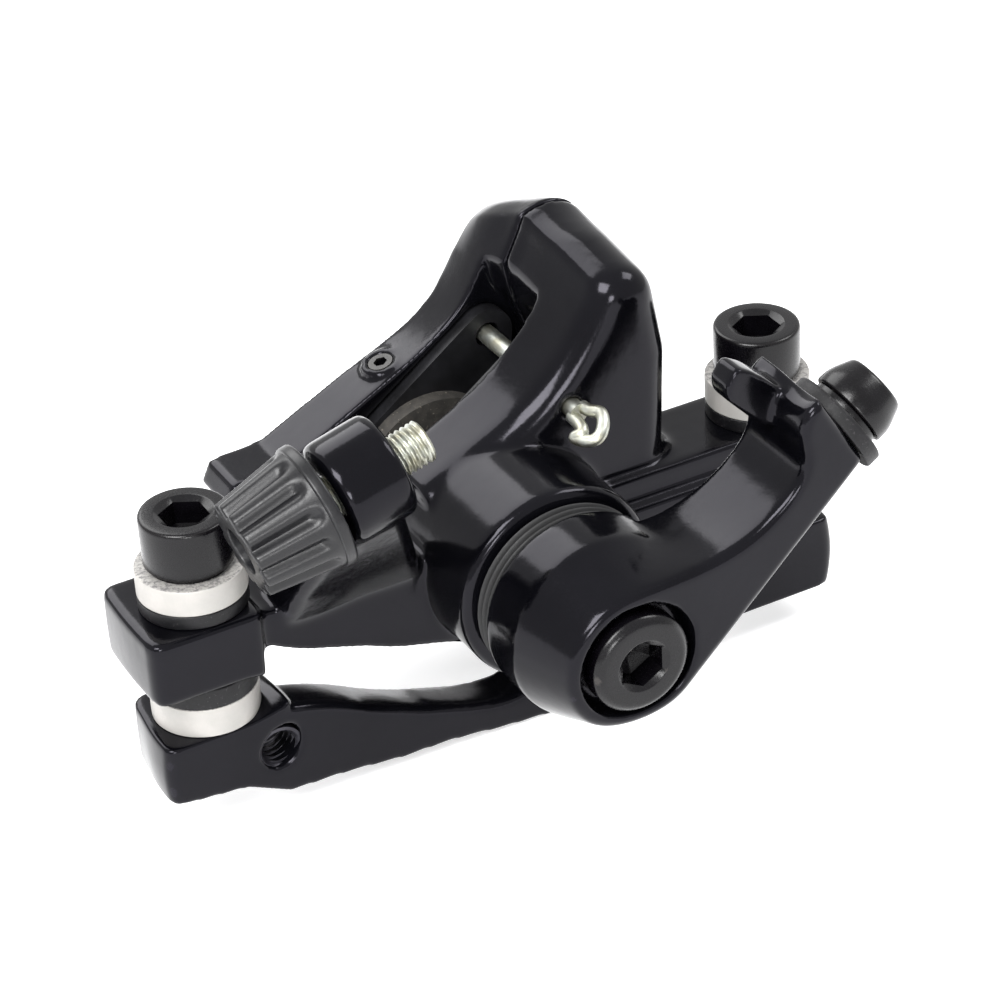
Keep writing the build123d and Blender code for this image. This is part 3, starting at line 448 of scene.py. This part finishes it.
def makeFinish(name, look):
    # layers shared by all finishes: grain, broad patches, flecks, bump, and pale edges that are
    # partly wear and partly painted highlight
    material = bpy.data.materials.new(name)
    material.use_nodes = True
    tree = material.node_tree
    shader = tree.nodes["Principled BSDF"]
    place = addNode(tree, "ShaderNodeTexCoord").outputs["Object"]
    grain = noise(tree, place, look["grain"], layers["grainDetail"], layers["grainRough"])
    patches = noise(tree, place, look["patch"], layers["patchDetail"])
    colour = mixColour(tree, spread(tree, patches, *layers["patch"]), linear(look["colour"]),
                       look["shade"])
    if "fleck" in look:
        # small flecks where the grain peaks
        amount = spread(tree, grain, look["fleckFrom"], look["fleckFrom"] + look["fleckSoft"])
        if look.get("fleckOnEnds"):
            ends = addNode(tree, "ShaderNodeAttribute", attribute_name="endFace")
            amount = calc(tree, "MULTIPLY", amount, ends.outputs["Fac"])
        colour = mixColour(tree, amount, colour, look["fleck"])
    # paler convex edges by pointiness: partly wear, partly a painted highlight along the edges
    if "edgeWearAndHighlightColour" in look:
        point = addNode(tree, "ShaderNodeNewGeometry").outputs["Pointiness"]
        edgeWearAndHighlightShare = spread(tree, point, *layers["edge"], 0.0, layers["edgeShare"])
        colour = mixColour(tree, edgeWearAndHighlightShare, colour, look["edgeWearAndHighlightColour"])
    tree.links.new(colour, shader.inputs["Base Color"])
    tree.links.new(spread(tree, grain, *layers["sheen"], *look["rough"]),
                   shader.inputs["Roughness"])
    bump = addNode(tree, "ShaderNodeBump",
                   {"Height": grain, "Distance": look["bump"] * mm, "Strength": 1.0})
    if "orange" in look:
        # slow waves of a thick coat over the cast skin
        waves = noise(tree, place, look["orange"], layers["waveDetail"])
        bump = addNode(tree, "ShaderNodeBump",
                       {"Height": waves, "Distance": look["orangeDeep"] * mm, "Strength": 1.0,
                        "Normal": bump.outputs[0]})
    tree.links.new(bump.outputs[0], shader.inputs["Normal"])
    shader.inputs["Metallic"].default_value = look.get("metal", 0.0)
    if "tint" in look:
        shader.inputs["Specular Tint"].default_value = linear(look["tint"])
    if "ior" in look:
        shader.inputs["IOR"].default_value = look["ior"]
    return material


# sizes of grain, patches, waves and bumps in mm
looks = {
    # electrophoretic black paint on die-cast aluminium: deep black, glossy, slight orange peel
    "blackPaintOnCasting": {
        "colour": "#040406", "shade": "#08080b", "grain": 0.35, "patch": 9.0,
        "rough": (0.1, 0.18), "bump": 0.004, "orange": 2.2, "orangeDeep": 0.02, "ior": 1.27,
        # the pale edge colour is partly wear and partly a painted highlight
        "tint": "#f4f1ff", "edgeWearAndHighlightColour": "#1b1a20"},
    # black oxide on turned and forged steel: duller, finely pitted, with pale brownish edges that
    # are partly wear where it thins and partly painted highlight
    "blackOxideSteel": {
        "colour": "#08070a", "shade": "#040305", "grain": 0.25, "patch": 4.0,
        "rough": (0.17, 0.32), "bump": 0.008, "ior": 1.34, "edgeWearAndHighlightColour": "#3b3836"},
    # bare cast aluminium washer, blasted: near white, with grey sparkle on the end faces
    "blastedAluminium": {
        "colour": "#adaaa6", "shade": "#a4a29e", "grain": 0.36, "patch": 3.0,
        "rough": (0.4, 0.65), "bump": 0.02, "metal": 0.15, "fleck": "#747272",
        "fleckFrom": 0.42, "fleckSoft": 0.2, "fleckOnEnds": True},
    # phosphated steel cup: almost black, grainy, flat
    "phosphatedSteel": {
        "colour": "#0c0b0e", "shade": "#060608", "grain": 0.3, "patch": 3.0,
        "rough": (0.4, 0.6), "bump": 0.025, "ior": 1.36, "fleck": "#3a383a",
        "fleckFrom": 0.62, "fleckSoft": 0.08},
    # zinc plate on rolled thread and wire: pale, satin, a little warm in patches
    "brightZinc": {
        "colour": "#bfc2bb", "shade": "#a5a392", "grain": 0.4, "patch": 2.0,
        "rough": (0.34, 0.5), "bump": 0.01, "metal": 1.0},
    # ground and hardened steel
    "groundSteel": {
        "colour": "#b9bbbd", "shade": "#a2a4a7", "grain": 0.2, "patch": 3.0,
        "rough": (0.18, 0.3), "bump": 0.004, "metal": 1.0},
    # oil-tempered spring wire
    "temperedWire": {
        "colour": "#4a4744", "shade": "#35312e", "grain": 0.3, "patch": 2.0,
        "rough": (0.3, 0.45), "bump": 0.006, "metal": 1.0},
    # sintered bronze bush, oily and open-grained
    "sinteredBronze": {
        "colour": "#a07744", "shade": "#8a6437", "grain": 0.15, "patch": 2.0,
        "rough": (0.35, 0.5), "bump": 0.01, "metal": 1.0},
    # nickel-plated magnet
    "platedMagnet": {
        "colour": "#c9c5bd", "shade": "#b7b3ab", "grain": 0.5, "patch": 3.0,
        "rough": (0.12, 0.2), "bump": 0.003, "metal": 1.0},
    # black nitrile rubber, matt with a moulded skin
    "nitrileRubber": {
        "colour": "#0d0d0e", "shade": "#141415", "grain": 0.3, "patch": 3.0,
        "rough": (0.55, 0.7), "bump": 0.012},
    # natural acetal of the cage: milky with a slight shine
    "acetalCage": {
        "colour": "#d9d4c6", "shade": "#cfc9b9", "grain": 0.3, "patch": 4.0,
        "rough": (0.35, 0.45), "bump": 0.004},
    # black glass-filled nylon of the knob: satin, faintly streaked by the mould
    "mouldedNylon": {
        "colour": "#08080b", "shade": "#101013", "grain": 0.25, "patch": 5.0,
        "rough": (0.27, 0.42), "bump": 0.008, "ior": 1.42},
    # stamped pad backing, dark phosphate with a dull gleam
    "padBackingCoat": {
        "colour": "#242427", "shade": "#1a1a1c", "grain": 0.25, "patch": 3.0,
        "rough": (0.35, 0.5), "bump": 0.008, "metal": 0.5},
    # thread cut after painting, its crests a little brighter than the coat
    "cutThreadInPaint": {
        "colour": "#3d3c42", "shade": "#25242a", "grain": 0.25, "patch": 2.0,
        "rough": (0.3, 0.45), "bump": 0.008, "metal": 0.6},
    # sintered or resin lining with fibres and metal specks
    "frictionMix": {
        "colour": "#3a3733", "shade": "#2b2926", "grain": 0.35, "patch": 1.2,
        "rough": (0.7, 0.9), "bump": 0.04, "fleck": "#8a8378", "fleckFrom": 0.64,
        "fleckSoft": 0.08},
}
finishes = {name: makeFinish(name, look) for name, look in looks.items()}
print("finishes made")

# castings as soft skins over the CAD's own meshes; pushes are place, reach and shift in mm
crownPushes = [((17, 29, 43), 12, (-1.7, 0, 0.1)), ((18, 30, 47), 9, (-0.8, 0, 0.9)),
               ((24, 17, 51), 8, (0, 0, -0.8))]
castings = [
    {"name": "outerCasting", "body": "caliper", "replaces": ["outer_body"], "voxel": 0.36,
     "passes": 16,
     "pushes": crownPushes + [((-40, 6.5, 15.5), 11, (-0.45, 0, 0)),
                              ((-21, 1, 13), 9, (0, 0, -1.0)),
                              ((-11, 1, 9.2), 9, (0, 0, -0.7))]},
    {"name": "innerCasting", "body": "caliper", "replaces": ["inner_body"], "voxel": 0.34,
     "passes": 9, "pushes": crownPushes},
    {"name": "tabBracket", "body": "bracket", "replaces": ["adapter_bracket"], "voxel": 0.29,
     "passes": 18,
     "pushes": [((-17, 1, 4), 13, (0, 0, 2.0)), ((-3, 1, 2), 12, (0, 0, 2.6)),
                ((11, 1, 1), 10, (0, 0, 1.2)), ((-39, 3, 1), 9, (-0.9, 0, 0)),
                ((48, 3, 0), 9, (1.3, 0, 0))]},
    {"name": "leverArm", "body": "lever", "replaces": ["actuator_arm"], "voxel": 0.3,
     "passes": 18,
     "pushes": [((6.4, -26, 4), 9, (0, 0, 0.8)),
                ((31.9, -22, 41.7), 5.5, (0.58, 0, -1.0))]},
]
castSkin = {"slot": "gloss_black_coat", "finish": "blackPaintOnCasting", "mergeWithin": 0.002,
            "smoothing": 0.5}


def castCopy(look):
    mesh = nodes[look["replaces"][0]].data.copy()
    merged = bmesh.new()
    merged.from_mesh(mesh)
    bmesh.ops.remove_doubles(merged, verts=merged.verts, dist=look["mergeWithin"] * mm)
    merged.to_mesh(mesh)
    merged.free()
    piece = newObject(look["name"], mesh)
    skin = piece.modifiers.new("skin", "REMESH")
    skin.mode = "VOXEL"
    skin.voxel_size = look["voxel"] * mm
    soft = piece.modifiers.new("soft", "SMOOTH")
    soft.factor = look["smoothing"]
    soft.iterations = look["passes"]
    bakeModifiers(piece)
    for spot, reach, shift in look["pushes"]:
        for vertex in piece.data.vertices:
            near = 1 - (vertex.co / mm - Vector(spot)).length_squared / reach ** 2
            if near > 0:
                vertex.co += Vector(shift) * mm * near * near
    piece.data.shade_smooth()
    settle(piece, look)
    print(look["name"], len(piece.data.polygons), "faces")


for casting in castings:
    castCopy({**castSkin, **casting})
print("castings made")

thread = makeThreadTree()
flutes = makeFluteTree()
coil = makeCoilTree()

# what the heads of all socket screws share, in mm
socketForm = {
    "headEdge": 0.55,     # rounding of the head's upper edge
    "hexCorner": 1.155,   # a hexagon's corner radius over its flat radius
    "mouthDeep": 0.45,    # chamfer at the socket's mouth
    "mouthEdge": 0.1,
    "drillCone": 0.4,     # depth of the drill point over the flat radius
    "threadBand": 0.1,    # only vertices this near to the wall are cut
}


def socketRows(radius, top, flats, deep, mouth=0.5):
    # rounded head end with a hexagon socket and its drill point
    half = flats / 2
    return [(radius, top, socketForm["headEdge"]),
            (half * socketForm["hexCorner"] + mouth, top, socketForm["mouthEdge"]),
            (half, top - socketForm["mouthDeep"], 0.0, True), (half, top - deep, 0.0, True),
            (0, top - deep - half * socketForm["drillCone"])]


def threadOf(look, radius, start, end):
    return {"Radius": radius * mm, "Band": socketForm["threadBand"] * mm,
            "Pitch": look["pitch"] * mm, "Depth": look["threadDeep"] * mm,
            "From": start * mm, "To": end * mm}


def makeScrew(look, foot, end, headRows, places):
    # threaded from the foot to the end, with a tip's inset and length, then the head
    inset, lead = look["tip"]
    radius = look["shankRadius"]
    rows = [(0, foot), (radius - inset, foot)] + rungs(radius, foot + lead, end) + headRows
    makeTurned(look, rows, places, thread, threadOf(look, radius, foot, end))


def pairPlaces(node, radius):
    # the two places of a node that stands once on each mounting bolt, at height zero
    low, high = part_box(node)
    y = (low.y + high.y) / 2
    return [Matrix.Translation((low.x + radius * mm, y, 0)),
            Matrix.Translation((high.x - radius * mm, y, 0))]


# mounting bolts: M6 cap screws with a 5 mm socket
mountBolt = {"name": "mountBolts", "body": "bracket", "slot": "black_oxide_steel",
             "finish": "blackOxideSteel", "replaces": ["mount_bolts"], "headRadius": 5.15,
             "headHeight": 6.0, "underEdge": 0.2, "shankRadius": 3.0, "tip": (0.5, 0.5),
             "flats": 5.0, "socketDeep": 3.2, "pitch": 1.0, "threadDeep": 0.55,
             "threadEnd": 18.0}
low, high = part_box("mount_bolts")
foot, top = low.z / mm, high.z / mm
seat = top - mountBolt["headHeight"]
makeScrew(mountBolt, foot, foot + mountBolt["threadEnd"],
          [(mountBolt["shankRadius"], seat),
           (mountBolt["headRadius"], seat, mountBolt["underEdge"])]
          + socketRows(mountBolt["headRadius"], top, mountBolt["flats"],
                       mountBolt["socketDeep"]),
          pairPlaces("mount_bolts", mountBolt["headRadius"]))

# thin washers under the heads
headWasher = {"name": "headWashers", "body": "bracket", "slot": "black_oxide_steel",
              "finish": "blackOxideSteel", "replaces": ["head_washers"], "radius": 4.7,
              "bore": 3.12, "edge": 0.16, "boreEdge": 0.08}
low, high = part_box("head_washers")
foot, top = low.z / mm, high.z / mm
makeTurned(headWasher,
           [(headWasher["bore"], foot, headWasher["boreEdge"]),
            (headWasher["radius"], foot, headWasher["edge"]),
            (headWasher["radius"], top, headWasher["edge"]),
            (headWasher["bore"], top, headWasher["boreEdge"])],
           pairPlaces("head_washers", headWasher["radius"]), ring=True)


def seatRows(look, start, way):
    # rows along the round seat, from its inner edge at a height outwards
    inner, outer, sphere, parts = look["bore"], look["seatRadius"], look["sphere"], look["parts"]
    drop = math.sqrt(sphere ** 2 - inner ** 2)
    rows = []
    for i in range(parts + 1):
        radius = inner + (outer - inner) * i / parts
        rows.append((radius, start + way * (drop - math.sqrt(sphere ** 2 - radius ** 2))))
    return rows


# pale washers: a round seat towards the cup, lathe lines on the rim and a cast end face
whiteWasher = {"body": "bracket", "slot": "pale_cast_washer", "finish": "blastedAluminium",
               "radius": 6.25, "bore": 3.2, "seatRadius": 5.75, "sphere": 9.0, "parts": 10,
               "edge": 0.28, "seatEdge": 0.22, "boreEdge": 0.15, "lathe": 0.035,
               "latheStep": 0.2, "latheFrom": 0.35, "latheTo": 0.4}
for side, way in (("upper", 1), ("lower", -1)):
    look = {**whiteWasher, "name": side + "WhiteWashers", "replaces": [side + "_white_washers"]}
    low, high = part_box(side + "_white_washers")
    near, far = (low.z / mm, high.z / mm) if way > 0 else (high.z / mm, low.z / mm)
    seats = seatRows(look, near, way)
    rim = seats[-1][1]
    lines = rungs(look["radius"], rim + way * look["latheFrom"], far - way * look["latheTo"],
                  look["latheStep"])
    lines = [(radius - look["lathe"] * (i % 2), height)
             for i, (radius, height) in enumerate(lines)]
    makeTurned(look, seats + [(look["radius"], rim, look["seatEdge"])] + lines
               + [(look["radius"], far, look["edge"]), (look["bore"], far, look["boreEdge"])],
               pairPlaces(side + "_white_washers", look["radius"]), ring=True)

# dark cups with the dished seat
cupWasher = {"body": "bracket", "slot": "dark_cup_steel", "finish": "phosphatedSteel",
             "radius": 6.25, "bore": 4.3, "seatRadius": 5.75, "sphere": 9.0, "parts": 10,
             "edge": 0.2, "boreEdge": 0.1}
for side, way in (("upper", 1), ("lower", -1)):
    look = {**cupWasher, "name": side + "CupWashers", "replaces": [side + "_cup_washers"]}
    low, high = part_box(side + "_cup_washers")
    near, far = (low.z / mm, high.z / mm) if way > 0 else (high.z / mm, low.z / mm)
    drop = math.sqrt(look["sphere"] ** 2 - look["seatRadius"] ** 2)
    start = far - way * (math.sqrt(look["sphere"] ** 2 - look["bore"] ** 2) - drop)
    makeTurned(look, [(look["bore"], near, look["boreEdge"])] + seatRows(look, start, way)
               + [(look["radius"], far, look["edge"]), (look["radius"], near, look["edge"])],
               pairPlaces(side + "_cup_washers", look["radius"]), ring=True)

# bolt in the hub, its head bevelled
armBolt = {"name": "armBolt", "body": "lever", "slot": "black_oxide_steel",
           "finish": "blackOxideSteel", "replaces": ["arm_bolt"], "headHeight": 4.6,
           "underEdge": 0.2, "bevel": 0.75, "bevelEdge": 0.25, "shankRadius": 2.5,
           "tip": (0.45, 0.4), "plain": 3, "flats": 5.0, "socketDeep": 3.2, "mouth": 0.35,
           "pitch": 0.8, "threadDeep": 0.45}
low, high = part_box("arm_bolt")
length, headRadius = (high.y - low.y) / mm, (high.x - low.x) / 2 / mm
under = length - armBolt["headHeight"]
pivot = (middle("arm_bolt").x, middle("arm_bolt").z)
makeScrew(armBolt, 0, under - armBolt["plain"],
          [(armBolt["shankRadius"], under), (headRadius, under, armBolt["underEdge"]),
           (headRadius, length - armBolt["bevel"], armBolt["bevelEdge"])]
          + socketRows(headRadius - armBolt["bevel"], length, armBolt["flats"],
                       armBolt["socketDeep"], armBolt["mouth"]),
          [seatAt((pivot[0], high.y, pivot[1]), (0, -1, 0))])

# cable clamp: washer, lock washer and a tapered socket bolt on one tilted axis
clamp = {"tilt": 31.5, "bore": 2.56, "boreEdge": 0.1, "gap": 0.03, "gaps": 3}
clampWasher = {"name": "clampWasher", "body": "lever", "slot": "black_oxide_steel",
               "finish": "phosphatedSteel", "replaces": ["clamp_washer"], "radius": 6.1,
               "thick": 1.8, "lowEdge": 0.3, "highEdge": 0.4}
lockWasher = {"name": "lockWasher", "body": "lever", "slot": "black_oxide_steel",
              "finish": "blackOxideSteel", "replaces": ["lock_washer"], "radius": 4.3,
              "thick": 0.9, "lowEdge": 0.2, "highEdge": 0.2}
clampBolt = {"name": "clampBolt", "body": "lever", "slot": "black_oxide_steel",
             "finish": "blackOxideSteel", "replaces": ["clamp_bolt"], "headRadius": 4.75,
             "headHeight": 4.5, "topRadius": 3.6, "underEdge": 0.3, "taperFrom": 1.7,
             "taperEdge": 1.0, "shankRadius": 2.5, "shank": 8.8, "tip": (0.4, 0.4),
             "plain": 2.8, "flats": 4.17, "socketDeep": 2.25, "mouth": 0.3, "pitch": 0.8,
             "threadDeep": 0.45}
tilt = math.radians(clamp["tilt"])
clampWay = Vector((math.cos(tilt), 0, math.sin(tilt)))
for look, node in ((clampWasher, "clamp_washer"), (lockWasher, "lock_washer")):
    half = look["thick"] / 2
    makeTurned(look,
               [(clamp["bore"], -half, clamp["boreEdge"]),
                (look["radius"], -half, look["lowEdge"]),
                (look["radius"], half, look["highEdge"]),
                (clamp["bore"], half, clamp["boreEdge"])],
               [seatAt(middle(node), clampWay)], ring=True)
armEnd = middle("clamp_washer") - clampWay * (clampWasher["thick"] / 2 + clamp["gap"]) * mm
clampSeat = clampWasher["thick"] + lockWasher["thick"] + clamp["gaps"] * clamp["gap"]
makeScrew(clampBolt, -clampBolt["shank"], -clampBolt["plain"],
          [(clampBolt["shankRadius"], 0),
           (clampBolt["headRadius"], 0, clampBolt["underEdge"]),
           (clampBolt["headRadius"], clampBolt["taperFrom"], clampBolt["taperEdge"])]
          + socketRows(clampBolt["topRadius"], clampBolt["headHeight"], clampBolt["flats"],
                       clampBolt["socketDeep"], clampBolt["mouth"]),
          [seatAt(armEnd + clampWay * clampSeat * mm, clampWay)])

# barrel adjuster: threaded tube and fluted knob, both along the axis of the cable stop
adjuster = {"tilt": 15.5, "stop": (-16.1, -6.8, 36.7)}
stud = {"name": "adjusterStud", "body": "stud", "slot": "zinc_steel", "finish": "brightZinc",
        "replaces": ["adjuster_stud"], "low": -8.0, "high": 8.4, "radius": 2.5, "bore": 1.3,
        "endInset": 0.35, "endLength": 0.3, "edge": 0.1, "rung": 0.075, "pitch": 0.7,
        "threadDeep": 0.26, "threadStop": 0.2}
knob = {"name": "adjusterKnob", "body": "knob", "slot": "black_moulded_plastic",
        "finish": "mouldedNylon", "replaces": ["adjuster_knob"], "far": -15.0, "near": -4.8,
        "seatEnd": -8.0, "small": 5.6, "wide": 6.98, "big": 7.3, "housing": 2.75,
        "bore": 2.55, "rim": 1.7, "coneOut": 0.1, "coneFrom": 0.6, "coneTo": 0.3,
        "rimInset": 0.05, "rimFrom": 0.4, "boreEdge": 0.2, "farEdge": 0.7, "rimEdge": 0.25,
        "nearEdge": 0.45, "rung": 0.3, "flutes": 12, "fluteDeep": 0.85, "fluteInner": 4.6,
        "fluteLead": 2, "fluteFade": 1.3, "sides": 144, "sharp": 40}
tilt = math.radians(adjuster["tilt"])
adjusterWay = Vector((math.cos(tilt), 0, math.sin(tilt)))
adjusterPlace = seatAt(Vector(adjuster["stop"]) * mm, adjusterWay)
makeTurned(stud,
           [(stud["bore"], stud["low"])]
           + rungs(stud["radius"], stud["low"], stud["high"] - stud["endLength"], stud["rung"])
           + [(stud["radius"] - stud["endInset"], stud["high"], stud["edge"]),
              (stud["bore"], stud["high"], stud["edge"])],
           [adjusterPlace], thread,
           threadOf(stud, stud["radius"], stud["low"], stud["high"] - stud["threadStop"]),
           ring=True)
rimEnd = knob["near"] - knob["rim"]
makeTurned(knob,
           [(knob["housing"], knob["far"], knob["boreEdge"]),
            (knob["small"], knob["far"], knob["farEdge"])]
           + rungs(knob["small"] + knob["coneOut"], knob["far"] + knob["coneFrom"],
                   rimEnd + knob["coneTo"], knob["rung"], knob["wide"])
           + [(knob["big"] - knob["rimInset"], rimEnd + knob["rimFrom"], knob["rimEdge"]),
              (knob["big"], knob["near"], knob["nearEdge"]),
              (knob["bore"], knob["near"], knob["boreEdge"]), (knob["bore"], knob["seatEnd"]),
              (knob["housing"], knob["seatEnd"])],
           [adjusterPlace], flutes,
           {"Inner radius": knob["fluteInner"] * mm, "Count": knob["flutes"],
            "Depth": knob["fluteDeep"] * mm, "From": (knob["far"] - knob["fluteLead"]) * mm,
            "To": rimEnd * mm, "Fade": knob["fluteFade"] * mm},
           sides=knob["sides"], ring=True, sharp=knob["sharp"])

# dust boot: a ribbed rubber ring between the barrel and the hub
boot = {"name": "dustBoot", "body": "caliper", "slot": "black_rubber", "finish": "nitrileRubber",
        "replaces": ["dust_boot"], "inner": 9.6, "ribDeep": 0.7, "ribs": 3, "parts": 36}
low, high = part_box("dust_boot")
outer, length = (high.x - low.x) / 2 / mm, (high.y - low.y) / mm
folds = []
for i in range(boot["parts"] + 1):
    wave = math.cos(2 * math.pi * boot["ribs"] * i / boot["parts"])
    folds.append((outer - boot["ribDeep"] * (0.5 + 0.5 * wave), length * i / boot["parts"]))
makeTurned(boot, [(boot["inner"], 0)] + folds + [(boot["inner"], length)],
           [seatAt((pivot[0], high.y, pivot[1]), (0, -1, 0))], ring=True)

# screws that close the body, heads flush with the back
bodyScrew = {"name": "bodyScrews", "body": "caliper", "slot": "black_oxide_steel",
             "finish": "blackOxideSteel", "replaces": ["body_screws"], "headRadius": 4.25,
             "headHeight": 5.0, "underEdge": 0.2, "shankRadius": 2.5, "tip": (0.4, 0.4),
             "plain": 3, "flats": 4.17, "socketDeep": 2.5, "mouth": 0.3, "pitch": 0.8,
             "threadDeep": 0.45}
low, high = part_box("body_screws")
length, inset = (high.y - low.y) / mm, bodyScrew["headRadius"] * mm
under = length - bodyScrew["headHeight"]
makeScrew(bodyScrew, 0, under - bodyScrew["plain"],
          [(bodyScrew["shankRadius"], under),
           (bodyScrew["headRadius"], under, bodyScrew["underEdge"])]
          + socketRows(bodyScrew["headRadius"], length, bodyScrew["flats"],
                       bodyScrew["socketDeep"], bodyScrew["mouth"]),
          [seatAt((low.x + inset, low.y, high.z - inset), (0, 1, 0)),
           seatAt((high.x - inset, low.y, low.z + inset), (0, 1, 0))])

# pad screw: steps on its wide face are inset, height from the face and rounding
padScrew = {"name": "padScrew", "body": "pad_screw", "slot": "black_oxide_steel",
            "finish": "blackOxideSteel", "replaces": ["pad_screw"], "flats": 5.0,
            "socketDeep": 3.0, "mouth": 0.3, "bevel": 0.5, "edge": 0.2, "middleInset": 2.5,
            "faceSteps": [(0, -1.1, 0.2), (0.6, -0.5, 0.2), (0.7, 0, 0.3), (1.6, 0, 0.1),
                          (1.8, -0.25, 0.1), (2.3, -0.25, 0.1)]}
low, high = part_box("pad_screw")
outer, length = (high.x - low.x) / 2 / mm, (high.y - low.y) / mm
makeTurned(padScrew,
           [(0, 0), (outer - padScrew["bevel"], 0, padScrew["edge"]),
            (outer, padScrew["bevel"], padScrew["edge"])]
           + [(outer - inset, length + rise, edge)
              for inset, rise, edge in padScrew["faceSteps"]]
           + socketRows(outer - padScrew["middleInset"], length, padScrew["flats"],
                        padScrew["socketDeep"], padScrew["mouth"]),
           [seatAt((middle("pad_screw").x, low.y, middle("pad_screw").z), (0, 1, 0))])

# return spring in the hub
spring = {"name": "returnSpring", "body": "lever", "slot": "spring_steel",
          "finish": "temperedWire", "replaces": ["return_spring"], "wire": 0.7, "turns": 2.3}
low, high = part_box("return_spring")
wire = spring["wire"] * mm
springShape = newObject("returnSpring", bpy.data.meshes.new("returnSpring"))
useTree(springShape, coil,
        {"Coil radius": (high.x - low.x) / 2 - wire, "Wire radius": wire,
         "Turns": spring["turns"], "Height": high.y - low.y - 2 * wire,
         "Material": finishes["temperedWire"]})
springShape.data.transform(seatAt((pivot[0], high.y - wire, pivot[1]), (0, -1, 0)))
springShape.data.shade_smooth()
settle(springShape, spring)

# tapped holes for the frame's bolts: thread rings set back from the bracket's face
tabThread = {"name": "tabThreads", "body": "bracket", "slot": "gloss_black_coat",
             "finish": "cutThreadInPaint", "replaces": [], "outer": 2.8, "crest": 2.12,
             "threadDeep": -0.38, "pitch": 0.95, "start": 0.45, "end": 5.6, "mouth": 0.3,
             "rung": 0.08, "reach": 25.5}
makeTurned(tabThread,
           [(tabThread["outer"], tabThread["start"]), (tabThread["outer"], tabThread["end"])]
           + rungs(tabThread["crest"], tabThread["end"],
                   tabThread["start"] + tabThread["mouth"], tabThread["rung"])
           + [(tabThread["crest"] + tabThread["mouth"], tabThread["start"])],
           [seatAt((side * tabThread["reach"] * mm, 0, 0), (0, 1, 0)) for side in (-1, 1)],
           thread,
           threadOf(tabThread, tabThread["crest"], tabThread["start"], tabThread["end"]),
           ring=True)
print("turned pieces made")

# finishes of the nodes that keep their own mesh
nodeFinishes = {
    "lock_screw": "blackOxideSteel",
    "split_pin": "brightZinc",
    "drive_cam": "groundSteel",
    "ramp_balls": "groundSteel",
    "piston": "groundSteel",
    "thrust_washer": "groundSteel",
    "cam_bush": "sinteredBronze",
    "pad_magnet": "platedMagnet",
    "ball_cage": "acetalCage",
    "outer_pad_plate": "padBackingCoat",
    "inner_pad_plate": "padBackingCoat",
    "outer_pad_lining": "frictionMix",
    "inner_pad_lining": "frictionMix",
}
for nodeName, finishName in nodeFinishes.items():
    nodes[nodeName].data.materials.clear()
    nodes[nodeName].data.materials.append(finishes[finishName])
print("other nodes finished")
